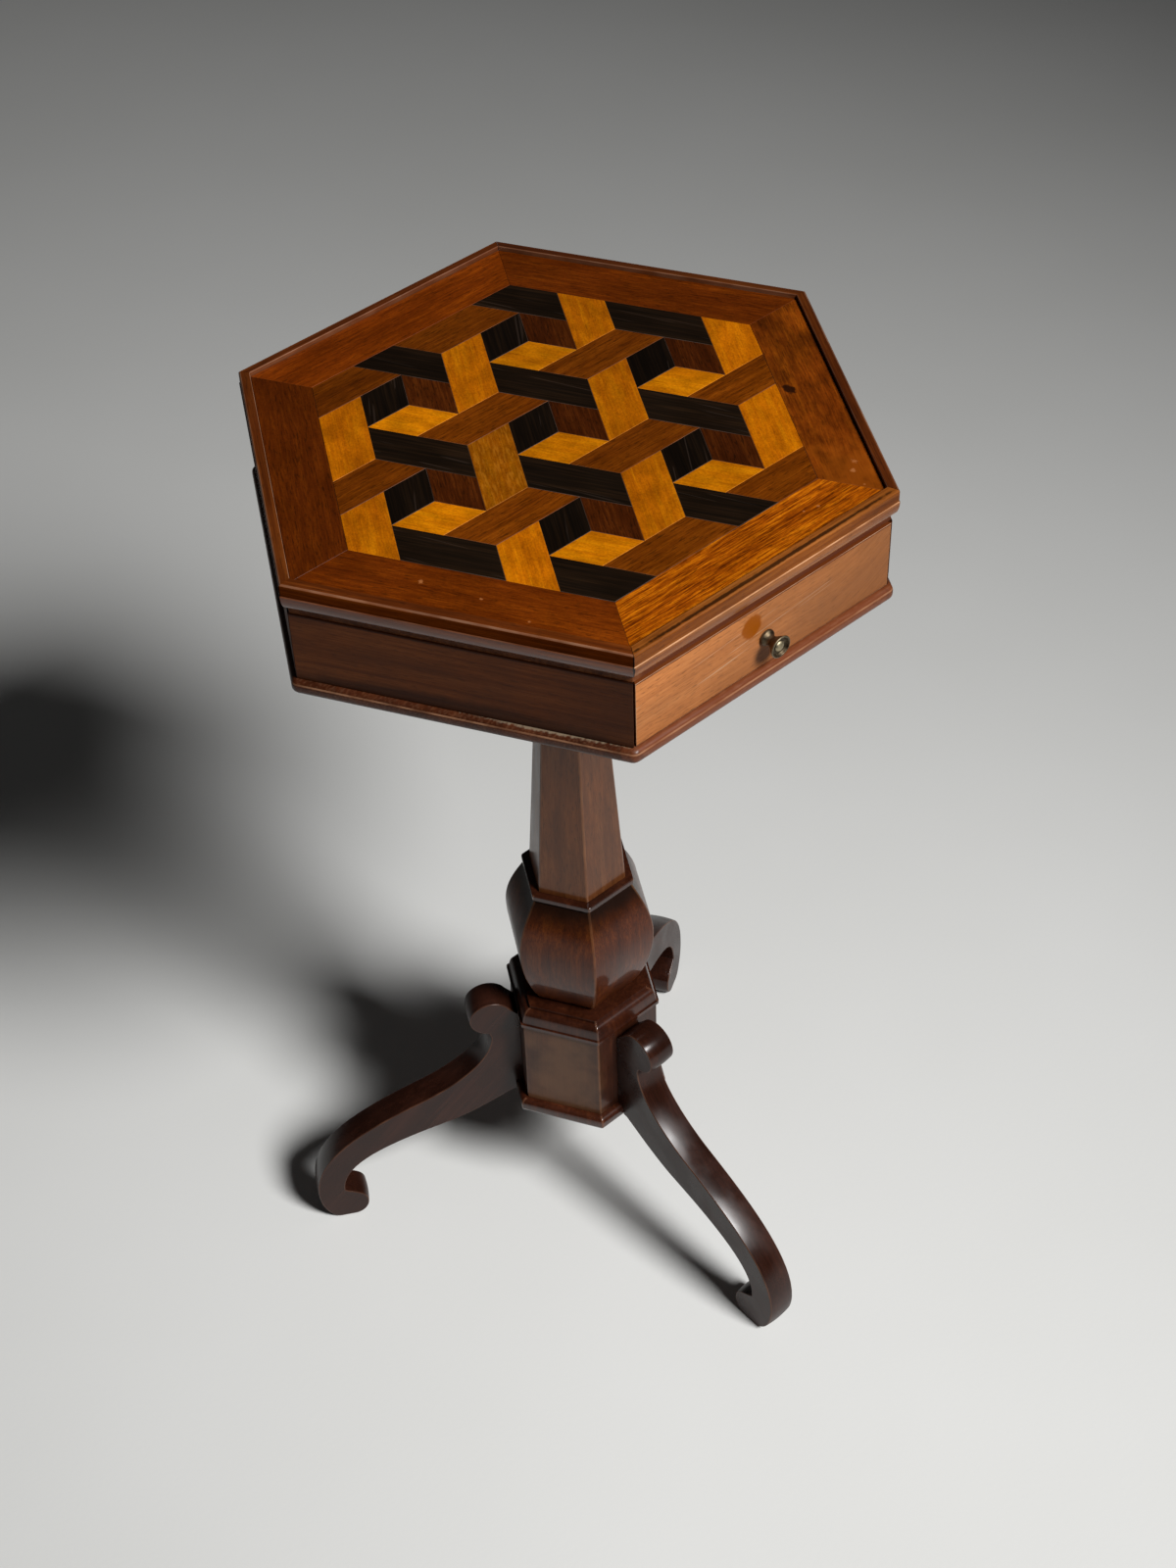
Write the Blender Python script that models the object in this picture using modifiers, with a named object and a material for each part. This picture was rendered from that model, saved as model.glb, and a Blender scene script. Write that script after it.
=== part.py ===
"""Hexagonal side table: parquetry top, one full-width drawer, faceted column and three scroll legs.

The table stands on the floor at Z = 0, with the middle of its outer box on the Z axis. The drawer faces -Y.
"""

import math

import bmesh
import bpy
from mathutils import Matrix, Vector
from mathutils.geometry import interpolate_bezier

# Driving dimensions, in metres

# Fits
JOINT_GAP = 0.0003          # glue line between pieces that touch
DRAWER_END_GAP = 0.0012     # between the drawer front's mitred ends and the case sides
DRAWER_TOP_GAP = 0.0012     # between the drawer front and the top board
DRAWER_SIDE_GAP = 0.0012    # between the drawer sides and their guides

# Parquetry and top
RHOMB_SIDE = 0.03175        # one and a quarter inches
FIELD_RHOMBS = 5            # the field's side, counted in rhombs
VENEER_THICKNESS = 0.0025
VENEER_ARRIS = 0.0002       # softened edge of each veneer
BORDER_WIDTH = 0.0355
TOP_EDGE_HEIGHT = 0.0052    # band of the top board that shows below the moulding
TOP_EDGE_SETBACK = 0.0010   # this band lies behind the case sides

# Moulding planted round the top, with a raised lip
LIP_HEIGHT = 0.0030
LIP_ARRIS = 0.0006          # softened inner edge of the lip
LIP_SHOULDER = 0.0022       # above the table's surface, where the lip turns down
MOULDING_DEPTH = 0.0072
MOULDING_DROP = 0.0150      # from the table's surface to the moulding's underside
FASCIA_SETBACK = 0.0005     # upright face, behind the sharp edge below it
ARRIS_DROP = 0.0064         # from the table's surface to this sharp edge
LOWER_RETURN = 0.0026       # how far the lower part goes back in

# Case
CASE_MARGIN = 0.0040        # case face outside the lip's inner face
CASE_HEIGHT = 0.0487
SIDE_THICKNESS = 0.0120
BOTTOM_THICKNESS = 0.0105
BOTTOM_OVERHANG = 0.0035
BOTTOM_NOSE = 0.40          # rounding of the bottom board's edge, as a share of its thickness
BOTTOM_CORNER = 0.0050      # rounding of the bottom board's corners
GUIDE_WIDTH = 0.0090
GUIDE_HEIGHT = 0.0140
GUIDE_END_GAP = 0.0150      # from a guide's ends to the case sides
STOP_THICKNESS = 0.0134
STOP_WIDTH = 0.0400
STOP_HEIGHT = 0.0160

# Drawer
FRONT_THICKNESS = 0.0140
DRAWER_SIDE_INSET = 0.0045  # from the front's inner corners to the drawer sides
DRAWER_WALL = 0.0080
DRAWER_SIDE_LOWERED = 0.0030
DRAWER_BACK_LOWERED = 0.0060
DRAWER_BOTTOM_THICKNESS = 0.0050
DRAWER_BOTTOM_RAISED = 0.0045
GROOVE_DEPTH = 0.0040
HOUSING_DEPTH = 0.0050

# Knob
KNOB_RADIUS = 0.0074
KNOB_PROJECTION = 0.0125
KNOB_DROP = 0.0030          # below the middle of the drawer front
KNOB_NECK_RADIUS = 0.0028
KNOB_FOOT_RADIUS = 0.0050
KNOB_BOSS_RADIUS = 0.0036
KNOB_RIM = 0.0013
KNOB_SHANK_RADIUS = 0.0022
NUT_SIDE = 0.0090
NUT_THICKNESS = 0.0035

# Bearer that carries the case on the column
BEARER_APOTHEM = 0.0550
BEARER_THICKNESS = 0.0164
BEARER_CHAMFER = 0.0050
SCREW_CIRCLE = 0.0380
SCREW_HEAD_RADIUS = 0.0045
SCREW_SHANK_RADIUS = 0.0022
SCREW_BITE = 0.0070         # how far a screw enters the bottom board
SCREW_SLOT = 0.0010
SCREW_COUNT = 3
SCREW_ROUND_SIDES = 12

# Column, by corner radius
SHAFT_LENGTH = 0.2792
SHAFT_TOP_RADIUS = 0.0172
SHAFT_FOOT_RADIUS = 0.0356
HEAD_TENON_RADIUS = 0.0090
COLLAR_OVERHANG = 0.0062
COLLAR_HEIGHT = 0.0047
COLLAR_ARRIS = 0.0007
SHAFT_TENON_RADIUS = 0.0140
SHAFT_TENON_LENGTH = 0.0360
BULB_HEIGHT = 0.1050
BULB_NECK_SETBACK = 0.0020  # below the collar
BULB_RADIUS = 0.0558
BULB_FOOT_RADIUS = 0.0385
BULB_SHOULDER = 0.0460      # from the bulb's top down to its widest line
BULB_FULLNESS = 0.8         # below 1 the lower half stays full for longer
BULB_TENON_RADIUS = 0.0150
BULB_TENON_LENGTH = 0.0400
TENON_LAP = 0.0012          # a tenon starts this far inside its own piece

# Base, by corner radius
BASE_MOULDING_HEIGHT = 0.0167
BASE_MOULDING_OVERHANG = 0.0020
BASE_MOULDING_RUN = 0.0090  # how far the moulding goes in from its foot to its top
BASE_FILLET = 0.0028
BLOCK_RADIUS = 0.0570
BLOCK_HEIGHT = 0.0817
PLINTH_OVERHANG = 0.0065
PLINTH_THICKNESS = 0.0117
PLINTH_BEAD = 0.38          # rounding of the plinth's edge, as a share of its thickness
PLINTH_HEIGHT = 0.1170      # underside of the plinth above the floor

# Legs
LEG_REACH = 0.2150          # column axis to the front of the foot
LEG_THICKNESS = 0.0220
LEG_DEPTH = 0.0350          # at the middle of the sweep
LEG_ARRIS = 0.0007
SCROLL_RADIUS = 0.0168
SCROLL_OUT = 0.0205         # scroll centre outside the block's face
SCROLL_DROP = 0.0075        # scroll centre below the block's top
FOOT_LENGTH = 0.0390
FOOT_RISE = 0.0320
ANKLE_DEPTH = 0.0220
KEY_HEIGHT = 0.0560
KEY_DEPTH = 0.0120
KEY_NECK = 0.0100           # width of the dovetail key at the block's face
KEY_FLARE = 0.0020          # how much wider each side is at its bottom
KEY_LAP = 0.0028            # the key starts this far inside its leg

# The leg's sweep, as shares of its run and rise
KNEE_ALONG = 0.456
KNEE_UP = 0.610
KNEE_SLOPE = 28.4           # degrees below level
CROOK_DROP = 1.22           # notch under the scroll, in scroll radii
SOLE_OUT = 0.41             # ends of the flat sole, as shares of the foot's length
SOLE_IN = 0.69
TOE_UP = 0.45               # toe's tip, as a share of the foot's rise

# Curve and circle counts
ROUND_SIDES = 24
BULB_STEPS = 9
CURVE_POINTS = 9

# Derived places

SIDES = 6
COS30 = math.cos(math.radians(30))
TAN30 = math.tan(math.radians(30))

PLINTH_TOP = PLINTH_HEIGHT + PLINTH_THICKNESS
BLOCK_BOTTOM = PLINTH_TOP + JOINT_GAP
BLOCK_TOP = BLOCK_BOTTOM + BLOCK_HEIGHT
BASE_MOULDING_BOTTOM = BLOCK_TOP + JOINT_GAP
BASE_MOULDING_TOP = BASE_MOULDING_BOTTOM + BASE_MOULDING_HEIGHT
BULB_BOTTOM = BASE_MOULDING_TOP + JOINT_GAP
BULB_TOP = BULB_BOTTOM + BULB_HEIGHT
COLLAR_BOTTOM = BULB_TOP + JOINT_GAP
COLLAR_TOP = COLLAR_BOTTOM + COLLAR_HEIGHT
SHAFT_BOTTOM = COLLAR_TOP + JOINT_GAP
SHAFT_TOP = SHAFT_BOTTOM + SHAFT_LENGTH
BEARER_BOTTOM = SHAFT_TOP + JOINT_GAP
BEARER_TOP = BEARER_BOTTOM + BEARER_THICKNESS
BOTTOM_BOARD_BOTTOM = BEARER_TOP + JOINT_GAP
BOTTOM_BOARD_TOP = BOTTOM_BOARD_BOTTOM + BOTTOM_THICKNESS
CASE_BOTTOM = BOTTOM_BOARD_TOP + JOINT_GAP
CASE_TOP = CASE_BOTTOM + CASE_HEIGHT
TOP_BOARD_BOTTOM = CASE_TOP + JOINT_GAP
TOP_EDGE_TOP = TOP_BOARD_BOTTOM + TOP_EDGE_HEIGHT
MOULDING_BOTTOM = TOP_EDGE_TOP + JOINT_GAP
SURFACE = MOULDING_BOTTOM + MOULDING_DROP
VENEER_BOTTOM = SURFACE - VENEER_THICKNESS
TOP_BOARD_TOP = VENEER_BOTTOM - JOINT_GAP

FIELD_APOTHEM = FIELD_RHOMBS * RHOMB_SIDE * COS30
LIP_APOTHEM = FIELD_APOTHEM + BORDER_WIDTH
CASE_APOTHEM = LIP_APOTHEM + CASE_MARGIN
CASE_INNER_APOTHEM = CASE_APOTHEM - SIDE_THICKNESS
FRONT_INNER_APOTHEM = CASE_APOTHEM - FRONT_THICKNESS
BLOCK_APOTHEM = BLOCK_RADIUS * COS30
PLINTH_APOTHEM = BLOCK_APOTHEM + PLINTH_OVERHANG * COS30
COLLAR_RADIUS = SHAFT_FOOT_RADIUS + COLLAR_OVERHANG
BULB_NECK_RADIUS = COLLAR_RADIUS - BULB_NECK_SETBACK
BASE_MOULDING_RADIUS = BLOCK_RADIUS + BASE_MOULDING_OVERHANG

DRAWER_HALF_WIDTH = min(CASE_INNER_APOTHEM, FRONT_INNER_APOTHEM) * TAN30 - DRAWER_SIDE_INSET
DRAWER_BACK_FACE = CASE_INNER_APOTHEM - STOP_THICKNESS - 2 * JOINT_GAP
GUIDE_INNER = DRAWER_HALF_WIDTH + DRAWER_SIDE_GAP
GUIDE_OUTER = GUIDE_INNER + GUIDE_WIDTH
GUIDE_END = 2 * (CASE_INNER_APOTHEM - GUIDE_OUTER * COS30) - GUIDE_END_GAP
DRAWER_SIDE_TOP = CASE_TOP - DRAWER_SIDE_LOWERED
DRAWER_BOTTOM_LOW = CASE_BOTTOM + DRAWER_BOTTOM_RAISED
DRAWER_BOTTOM_HIGH = DRAWER_BOTTOM_LOW + DRAWER_BOTTOM_THICKNESS
KNOB_HEIGHT = (CASE_BOTTOM + CASE_TOP - DRAWER_TOP_GAP) / 2 - KNOB_DROP

# The front foot reaches further than the case at the back, so the column stands behind the middle
BACK_REACH = max(CASE_APOTHEM + BOTTOM_OVERHANG, LIP_APOTHEM + MOULDING_DEPTH)
COLUMN_Y = (LEG_REACH - BACK_REACH) / 2

LEG_ANGLES = {"leg_front": -90, "leg_right": 30, "leg_left": 150}
SIDE_NAMES = ("front", "right_front", "right_back", "back", "left_back", "left_front")

for old in list(bpy.data.objects):
    bpy.data.objects.remove(old, do_unlink=True)

PARTS = bpy.data.collections.new("hexagonal_side_table")
CUTTERS = bpy.data.collections.new("cutters")
bpy.context.scene.collection.children.link(PARTS)
bpy.context.scene.collection.children.link(CUTTERS)


def finish(name, colour, roughness, metallic=0.0):
    """A plain material with the colour and sheen of one wood or metal."""
    material = bpy.data.materials.new(name)
    material.use_nodes = True
    shader = material.node_tree.nodes["Principled BSDF"]
    shader.inputs["Base Color"].default_value = (*colour, 1.0)
    shader.inputs["Roughness"].default_value = roughness
    shader.inputs["Metallic"].default_value = metallic
    return material


EBONY = finish("ebony", (0.020, 0.012, 0.008), 0.38)
WALNUT = finish("walnut", (0.150, 0.060, 0.018), 0.38)
SATINWOOD = finish("satinwood", (0.480, 0.210, 0.040), 0.36)
MAHOGANY_BORDER = finish("mahogany_border", (0.220, 0.075, 0.018), 0.36)
MAHOGANY_MOULDING = finish("mahogany_moulding", (0.150, 0.045, 0.018), 0.34)
MAHOGANY_CASE = finish("mahogany_case", (0.090, 0.036, 0.018), 0.45)
MAHOGANY_FRONT = finish("mahogany_front", (0.330, 0.140, 0.060), 0.48)
MAHOGANY_COLUMN = finish("mahogany_column", (0.100, 0.034, 0.017), 0.30)
MAHOGANY_LEG = finish("mahogany_leg", (0.055, 0.018, 0.011), 0.30)
PINE = finish("pine", (0.420, 0.260, 0.120), 0.70)
BRASS = finish("aged_brass", (0.250, 0.200, 0.120), 0.40, 1.0)
STEEL = finish("dark_steel", (0.120, 0.110, 0.100), 0.50, 1.0)


def add_part(name, mesh, material, turn=0.0, location=(0, 0, 0)):
    """A named piece of the table, turned about the column's axis by so many degrees."""
    mesh.name = name
    if material is not None:
        mesh.materials.clear()
        mesh.materials.append(material)
    piece = bpy.data.objects.new(name, mesh)
    piece.location = location
    piece.rotation_euler.z = math.radians(turn)
    PARTS.objects.link(piece)
    return piece


def add_tool(name, mesh, matrix=None):
    """A hidden shape that cuts or joins a piece."""
    tool = bpy.data.objects.new(name, mesh)
    tool.matrix_world = matrix or Matrix()
    tool.hide_render = True
    tool.display_type = "WIRE"
    CUTTERS.objects.link(tool)
    return tool


def combine(piece, tool, operation="DIFFERENCE"):
    modifier = piece.modifiers.new(tool.name, "BOOLEAN")
    modifier.operation = operation
    modifier.solver = "EXACT"
    modifier.object = tool


def mesh_from(bm, name):
    bmesh.ops.recalc_face_normals(bm, faces=bm.faces)
    mesh = bpy.data.meshes.new(name)
    bm.to_mesh(mesh)
    bm.free()
    return mesh


def box_mesh(name, low, high):
    low = Vector(low)
    high = Vector(high)
    bm = bmesh.new()
    size = Matrix.Diagonal((*(high - low), 1.0))
    bmesh.ops.create_cube(bm, size=1.0, matrix=Matrix.Translation((low + high) / 2) @ size)
    return mesh_from(bm, name)


def rod_mesh(name, radius, low, high, sides=ROUND_SIDES, end_radius=None):
    """An upright rod, or a cone where the upper end has a radius of its own."""
    bm = bmesh.new()
    middle = Matrix.Translation((0, 0, (low + high) / 2))
    top = radius if end_radius is None else end_radius
    bmesh.ops.create_cone(
        bm, cap_ends=True, segments=sides, radius1=radius, radius2=top, depth=high - low, matrix=middle)
    return mesh_from(bm, name)


def turned(name, profile, material, steps, **place):
    """A profile of (radius, height) points, from the top down, carried round the axis."""
    mesh = bpy.data.meshes.new(name)
    points = [(radius, 0, height) for radius, height in profile]
    mesh.from_pydata(points, [(i, i + 1) for i in range(len(points) - 1)], [])
    piece = add_part(name, mesh, material, **place)
    screw = piece.modifiers.new("turn", "SCREW")
    screw.axis = "Z"
    screw.angle = math.tau
    screw.steps = steps
    screw.render_steps = steps
    screw.use_merge_vertices = True
    screw.merge_threshold = 0.00001
    screw.use_smooth_shade = steps > SIDES
    return piece


def soften(piece, width, segments=1, angle=30):
    bevel = piece.modifiers.new("arris", "BEVEL")
    bevel.width = width
    bevel.segments = segments
    bevel.limit_method = "ANGLE"
    bevel.angle_limit = math.radians(angle)


def outline_mesh(name, outline, thickness):
    """A flat outline in XY, filled and given thickness along Z about its own plane."""
    curve = bpy.data.curves.new(name, "CURVE")
    curve.dimensions = "2D"
    curve.fill_mode = "BOTH"
    curve.extrude = thickness / 2
    spline = curve.splines.new("POLY")
    spline.points.add(len(outline) - 1)
    for point, (x, y) in zip(spline.points, outline):
        point.co = (x, y, 0, 1)
    spline.use_cyclic_u = True
    guide = bpy.data.objects.new(name, curve)
    CUTTERS.objects.link(guide)
    graph = bpy.context.evaluated_depsgraph_get()
    mesh = bpy.data.meshes.new_from_object(guide.evaluated_get(graph))
    bpy.data.objects.remove(guide, do_unlink=True)
    bm = bmesh.new()
    bm.from_mesh(mesh)
    bmesh.ops.remove_doubles(bm, verts=bm.verts, dist=0.00001)
    bmesh.ops.dissolve_limit(bm, angle_limit=0.001, verts=bm.verts, edges=bm.edges)
    bpy.data.meshes.remove(mesh)
    return mesh_from(bm, name)


def arc(centre, radius, start, end, count):
    """Points on an arc, with angles in degrees."""
    angles = [math.radians(start + (end - start) * i / (count - 1)) for i in range(count)]
    return [(centre[0] + radius * math.cos(a), centre[1] + radius * math.sin(a)) for a in angles]


def sweep(start, start_handle, end_handle, end, count=CURVE_POINTS):
    """Points along one curve between two handles, without its last point."""
    ends = [Vector(point) for point in (start, start_handle, end_handle, end)]
    return [tuple(point) for point in interpolate_bezier(*ends, count)][:-1]


def mitred_length(name, section, gap):
    """A length of moulding or board on the -Y side, its ends mitred on the hexagon's corner lines.

    The section is a loop of (apothem, height) points.
    """
    reach = max(apothem for apothem, _ in section) * TAN30 + gap
    bm = bmesh.new()
    loop = [bm.verts.new((-reach, -apothem, height)) for apothem, height in section]
    face = bm.faces.new(loop)
    swept = bmesh.ops.extrude_face_region(bm, geom=[face])["geom"]
    moved = [item for item in swept if isinstance(item, bmesh.types.BMVert)]
    bmesh.ops.translate(bm, verts=moved, vec=(2 * reach, 0, 0))
    for side in (1, -1):
        across = Vector((side * COS30, 0.5, 0))
        bmesh.ops.bisect_plane(
            bm, geom=bm.verts[:] + bm.edges[:] + bm.faces[:], dist=0.000001,
            plane_co=-across * gap / 2, plane_no=across, clear_outer=True)
        rim = [edge for edge in bm.edges if edge.is_boundary]
        bmesh.ops.holes_fill(bm, edges=rim)
    return mesh_from(bm, name)


def corner_radius(apothem):
    return apothem / COS30


def clip(polygon, normal, limit):
    """The part of a convex polygon on the inner side of a straight line, or nothing."""
    near = RHOMB_SIDE / 1000
    depths = [point.dot(normal) - limit for point in polygon]
    if min(depths) > -near:
        return []
    kept = []
    for here, depth, after, depth_after in zip(
            polygon, depths, polygon[1:] + polygon[:1], depths[1:] + depths[:1]):
        if depth < near:
            kept.append(here)
        if min(depth, depth_after) < -near and max(depth, depth_after) > near:
            kept.append(here.lerp(after, depth / (depth - depth_after)))
    return kept


# Parquetry: three rhombs make a cube, and three bars interlace between the cubes

# Two of the pattern's three directions, turned so that the drawer faces -Y
ALONG_U = Vector((math.cos(math.radians(-60)), math.sin(math.radians(-60)))) * RHOMB_SIDE
ALONG_V = Vector((1.0, 0.0)) * RHOMB_SIDE
MOTIF_STEP = 3              # rhomb sides between the middles of two cubes

# Corners of each piece, in steps along U and V from the middle of its cube
MOTIF = (
    (EBONY, ((0, 0), (-1, 1), (-1, 0), (0, -1))),
    (WALNUT, ((0, 0), (-1, 1), (0, 1), (1, 0))),
    (SATINWOOD, ((0, 0), (1, 0), (1, -1), (0, -1))),
    (EBONY, ((0, -1), (1, -1), (2, -1), (3, -2), (2, -2), (1, -2))),
    (WALNUT, ((1, -1), (2, -1), (2, 0), (2, 1), (1, 1), (1, 0))),
    (SATINWOOD, ((1, 0), (1, 1), (0, 2), (-1, 3), (-1, 2), (0, 1))),
)


def motif_pieces(across, up):
    """The veneers of one motif that fall inside the field, as (wood, corners)."""
    middle = (ALONG_U * across + ALONG_V * up) * MOTIF_STEP
    pieces = []
    for material, corners in MOTIF:
        polygon = [middle + ALONG_U * i + ALONG_V * j for i, j in corners]
        for side in range(SIDES):
            facing = math.radians(30 + 60 * side)
            if polygon:
                polygon = clip(polygon, Vector((math.cos(facing), math.sin(facing))), FIELD_APOTHEM)
        if polygon:
            pieces.append((material, polygon))
    return pieces


def veneer_mesh(name, pieces):
    """Veneers glued edge to edge, each with a softened top edge, so that the joints show as fine lines."""
    bm = bmesh.new()
    woods = []
    corners = {}
    for material, polygon in pieces:
        if material not in woods:
            woods.append(material)
        loop = []
        for point in polygon:
            key = (round(point.x, 6), round(point.y, 6))
            if key not in corners:
                corners[key] = bm.verts.new((point.x, point.y, VENEER_BOTTOM))
            loop.append(corners[key])
        face = bm.faces.new(loop)
        face.material_index = woods.index(material)
    bmesh.ops.recalc_face_normals(bm, faces=bm.faces)
    sheet = bm.faces[:]
    rim = bmesh.ops.inset_region(bm, faces=sheet, thickness=JOINT_GAP / 2, use_even_offset=True)["faces"]
    bmesh.ops.delete(bm, geom=rim, context="FACES")
    sheet = bm.faces[:]
    lifted = bmesh.ops.extrude_face_region(bm, geom=sheet)["geom"]
    upper = [item for item in lifted if isinstance(item, bmesh.types.BMVert)]
    tops = [item for item in lifted if isinstance(item, bmesh.types.BMFace)]
    bmesh.ops.translate(bm, verts=upper, vec=(0, 0, VENEER_THICKNESS - VENEER_ARRIS))
    bmesh.ops.inset_individual(bm, faces=tops, thickness=VENEER_ARRIS, use_even_offset=True)
    raised = {vert for face in tops for vert in face.verts}
    bmesh.ops.translate(bm, verts=list(raised), vec=(0, 0, VENEER_ARRIS))
    mesh = mesh_from(bm, name)
    for material in woods:
        mesh.materials.append(material)
    return mesh


def build_parquetry():
    most = math.ceil(FIELD_RHOMBS)
    reach = range(-most, most + 1)
    motif_count = 0
    edge_count = 0
    for across in reach:
        for up in reach:
            pieces = motif_pieces(across, up)
            if len(pieces) == len(MOTIF):
                motif_count += 1
                name = f"parquetry_motif_{motif_count}"
                add_part(name, veneer_mesh(name, pieces), None)
                continue
            for piece in pieces:
                edge_count += 1
                name = f"parquetry_edge_bar_{edge_count}"
                add_part(name, veneer_mesh(name, [piece]), None)


def build_border():
    inner = FIELD_APOTHEM + JOINT_GAP / 2
    outer = LIP_APOTHEM - JOINT_GAP
    section = [(inner, VENEER_BOTTOM), (outer, VENEER_BOTTOM), (outer, SURFACE), (inner, SURFACE)]
    for side in range(SIDES):
        name = f"border_strip_{SIDE_NAMES[side]}"
        piece = add_part(name, mitred_length(name, section, JOINT_GAP), MAHOGANY_BORDER, turn=60 * side)
        soften(piece, VENEER_ARRIS)


def build_top_board():
    """The ground for the veneers, with a rebate round its edge for the moulding."""
    upper = corner_radius(LIP_APOTHEM - JOINT_GAP)
    lower = corner_radius(CASE_APOTHEM - TOP_EDGE_SETBACK)
    profile = [
        (0, TOP_BOARD_TOP), (upper, TOP_BOARD_TOP), (upper, TOP_EDGE_TOP),
        (lower, TOP_EDGE_TOP), (lower, TOP_BOARD_BOTTOM), (0, TOP_BOARD_BOTTOM)]
    turned("top_board", profile, PINE, SIDES)


def build_top_moulding():
    """Six lengths: a lip that slopes and turns down, an upright fascia, a sharp arris and a rounded part."""
    inner = LIP_APOTHEM
    nose = inner + MOULDING_DEPTH
    fascia = nose - FASCIA_SETBACK
    foot_edge = nose - LOWER_RETURN
    lip_top = SURFACE + LIP_HEIGHT
    arris = SURFACE - ARRIS_DROP
    lip = arc((inner + LIP_ARRIS, lip_top - LIP_ARRIS), LIP_ARRIS, 180, 90, 3)
    slope_end = (fascia - LIP_HEIGHT / 2, lip_top)
    shoulder = (fascia, SURFACE + LIP_SHOULDER)
    thumb = sweep(lip[-1], slope_end, shoulder, (fascia, SURFACE - LIP_ARRIS), 8)
    face = [(fascia, SURFACE - LIP_ARRIS), (fascia, arris + FASCIA_SETBACK)]
    round_start = (nose, (arris + MOULDING_BOTTOM) / 2)
    round_end = (nose - LOWER_RETURN / 3, MOULDING_BOTTOM)
    ovolo = sweep((nose, arris), round_start, round_end, (foot_edge, MOULDING_BOTTOM), 6)
    section = lip[:-1] + thumb + face + ovolo + [(foot_edge, MOULDING_BOTTOM), (inner, MOULDING_BOTTOM)]
    for side in range(SIDES):
        name = f"top_moulding_{SIDE_NAMES[side]}"
        add_part(name, mitred_length(name, section, JOINT_GAP), MAHOGANY_MOULDING, turn=60 * side)


def build_case():
    """Five mitred sides, the bottom board below them, and the drawer's guides and stop inside."""
    inner = CASE_INNER_APOTHEM
    outer = CASE_APOTHEM
    section = [(inner, CASE_BOTTOM), (outer, CASE_BOTTOM), (outer, CASE_TOP), (inner, CASE_TOP)]
    for side in range(1, SIDES):
        name = f"case_side_{SIDE_NAMES[side]}"
        piece = add_part(name, mitred_length(name, section, JOINT_GAP), MAHOGANY_CASE, turn=60 * side)
        soften(piece, VENEER_ARRIS)
    build_bottom_board()

    for name, hand in (("drawer_guide_left", -1), ("drawer_guide_right", 1)):
        near, far = sorted((hand * GUIDE_INNER, hand * GUIDE_OUTER))
        low = (near, -GUIDE_END, CASE_BOTTOM)
        high = (far, GUIDE_END, CASE_BOTTOM + GUIDE_HEIGHT)
        add_part(name, box_mesh(name, low, high), PINE)
    low = (-STOP_WIDTH / 2, DRAWER_BACK_FACE + JOINT_GAP, CASE_BOTTOM)
    high = (STOP_WIDTH / 2, CASE_INNER_APOTHEM - JOINT_GAP, CASE_BOTTOM + STOP_HEIGHT)
    add_part("drawer_stop", box_mesh("drawer_stop", low, high), PINE)


def build_bottom_board():
    """A hexagonal board with rounded corners and a rounded edge, wider than the case."""
    bm = bmesh.new()
    radius = corner_radius(CASE_APOTHEM + BOTTOM_OVERHANG)
    lift = Matrix.Translation((0, 0, (BOTTOM_BOARD_BOTTOM + BOTTOM_BOARD_TOP) / 2))
    corners_on_x = Matrix.Rotation(math.radians(30), 4, "Z")
    bmesh.ops.create_cone(
        bm, cap_ends=True, segments=SIDES, radius1=radius, radius2=radius,
        depth=BOTTOM_THICKNESS, matrix=lift @ corners_on_x)
    upright = [edge for edge in bm.edges if abs(edge.verts[0].normal.z + edge.verts[1].normal.z) < 0.1]
    bmesh.ops.bevel(bm, geom=upright, offset=BOTTOM_CORNER * TAN30, segments=4, profile=0.5, affect="EDGES")
    board = add_part("bottom_board", mesh_from(bm, "bottom_board"), MAHOGANY_MOULDING)
    soften(board, BOTTOM_NOSE * BOTTOM_THICKNESS, segments=4, angle=60)


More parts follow.
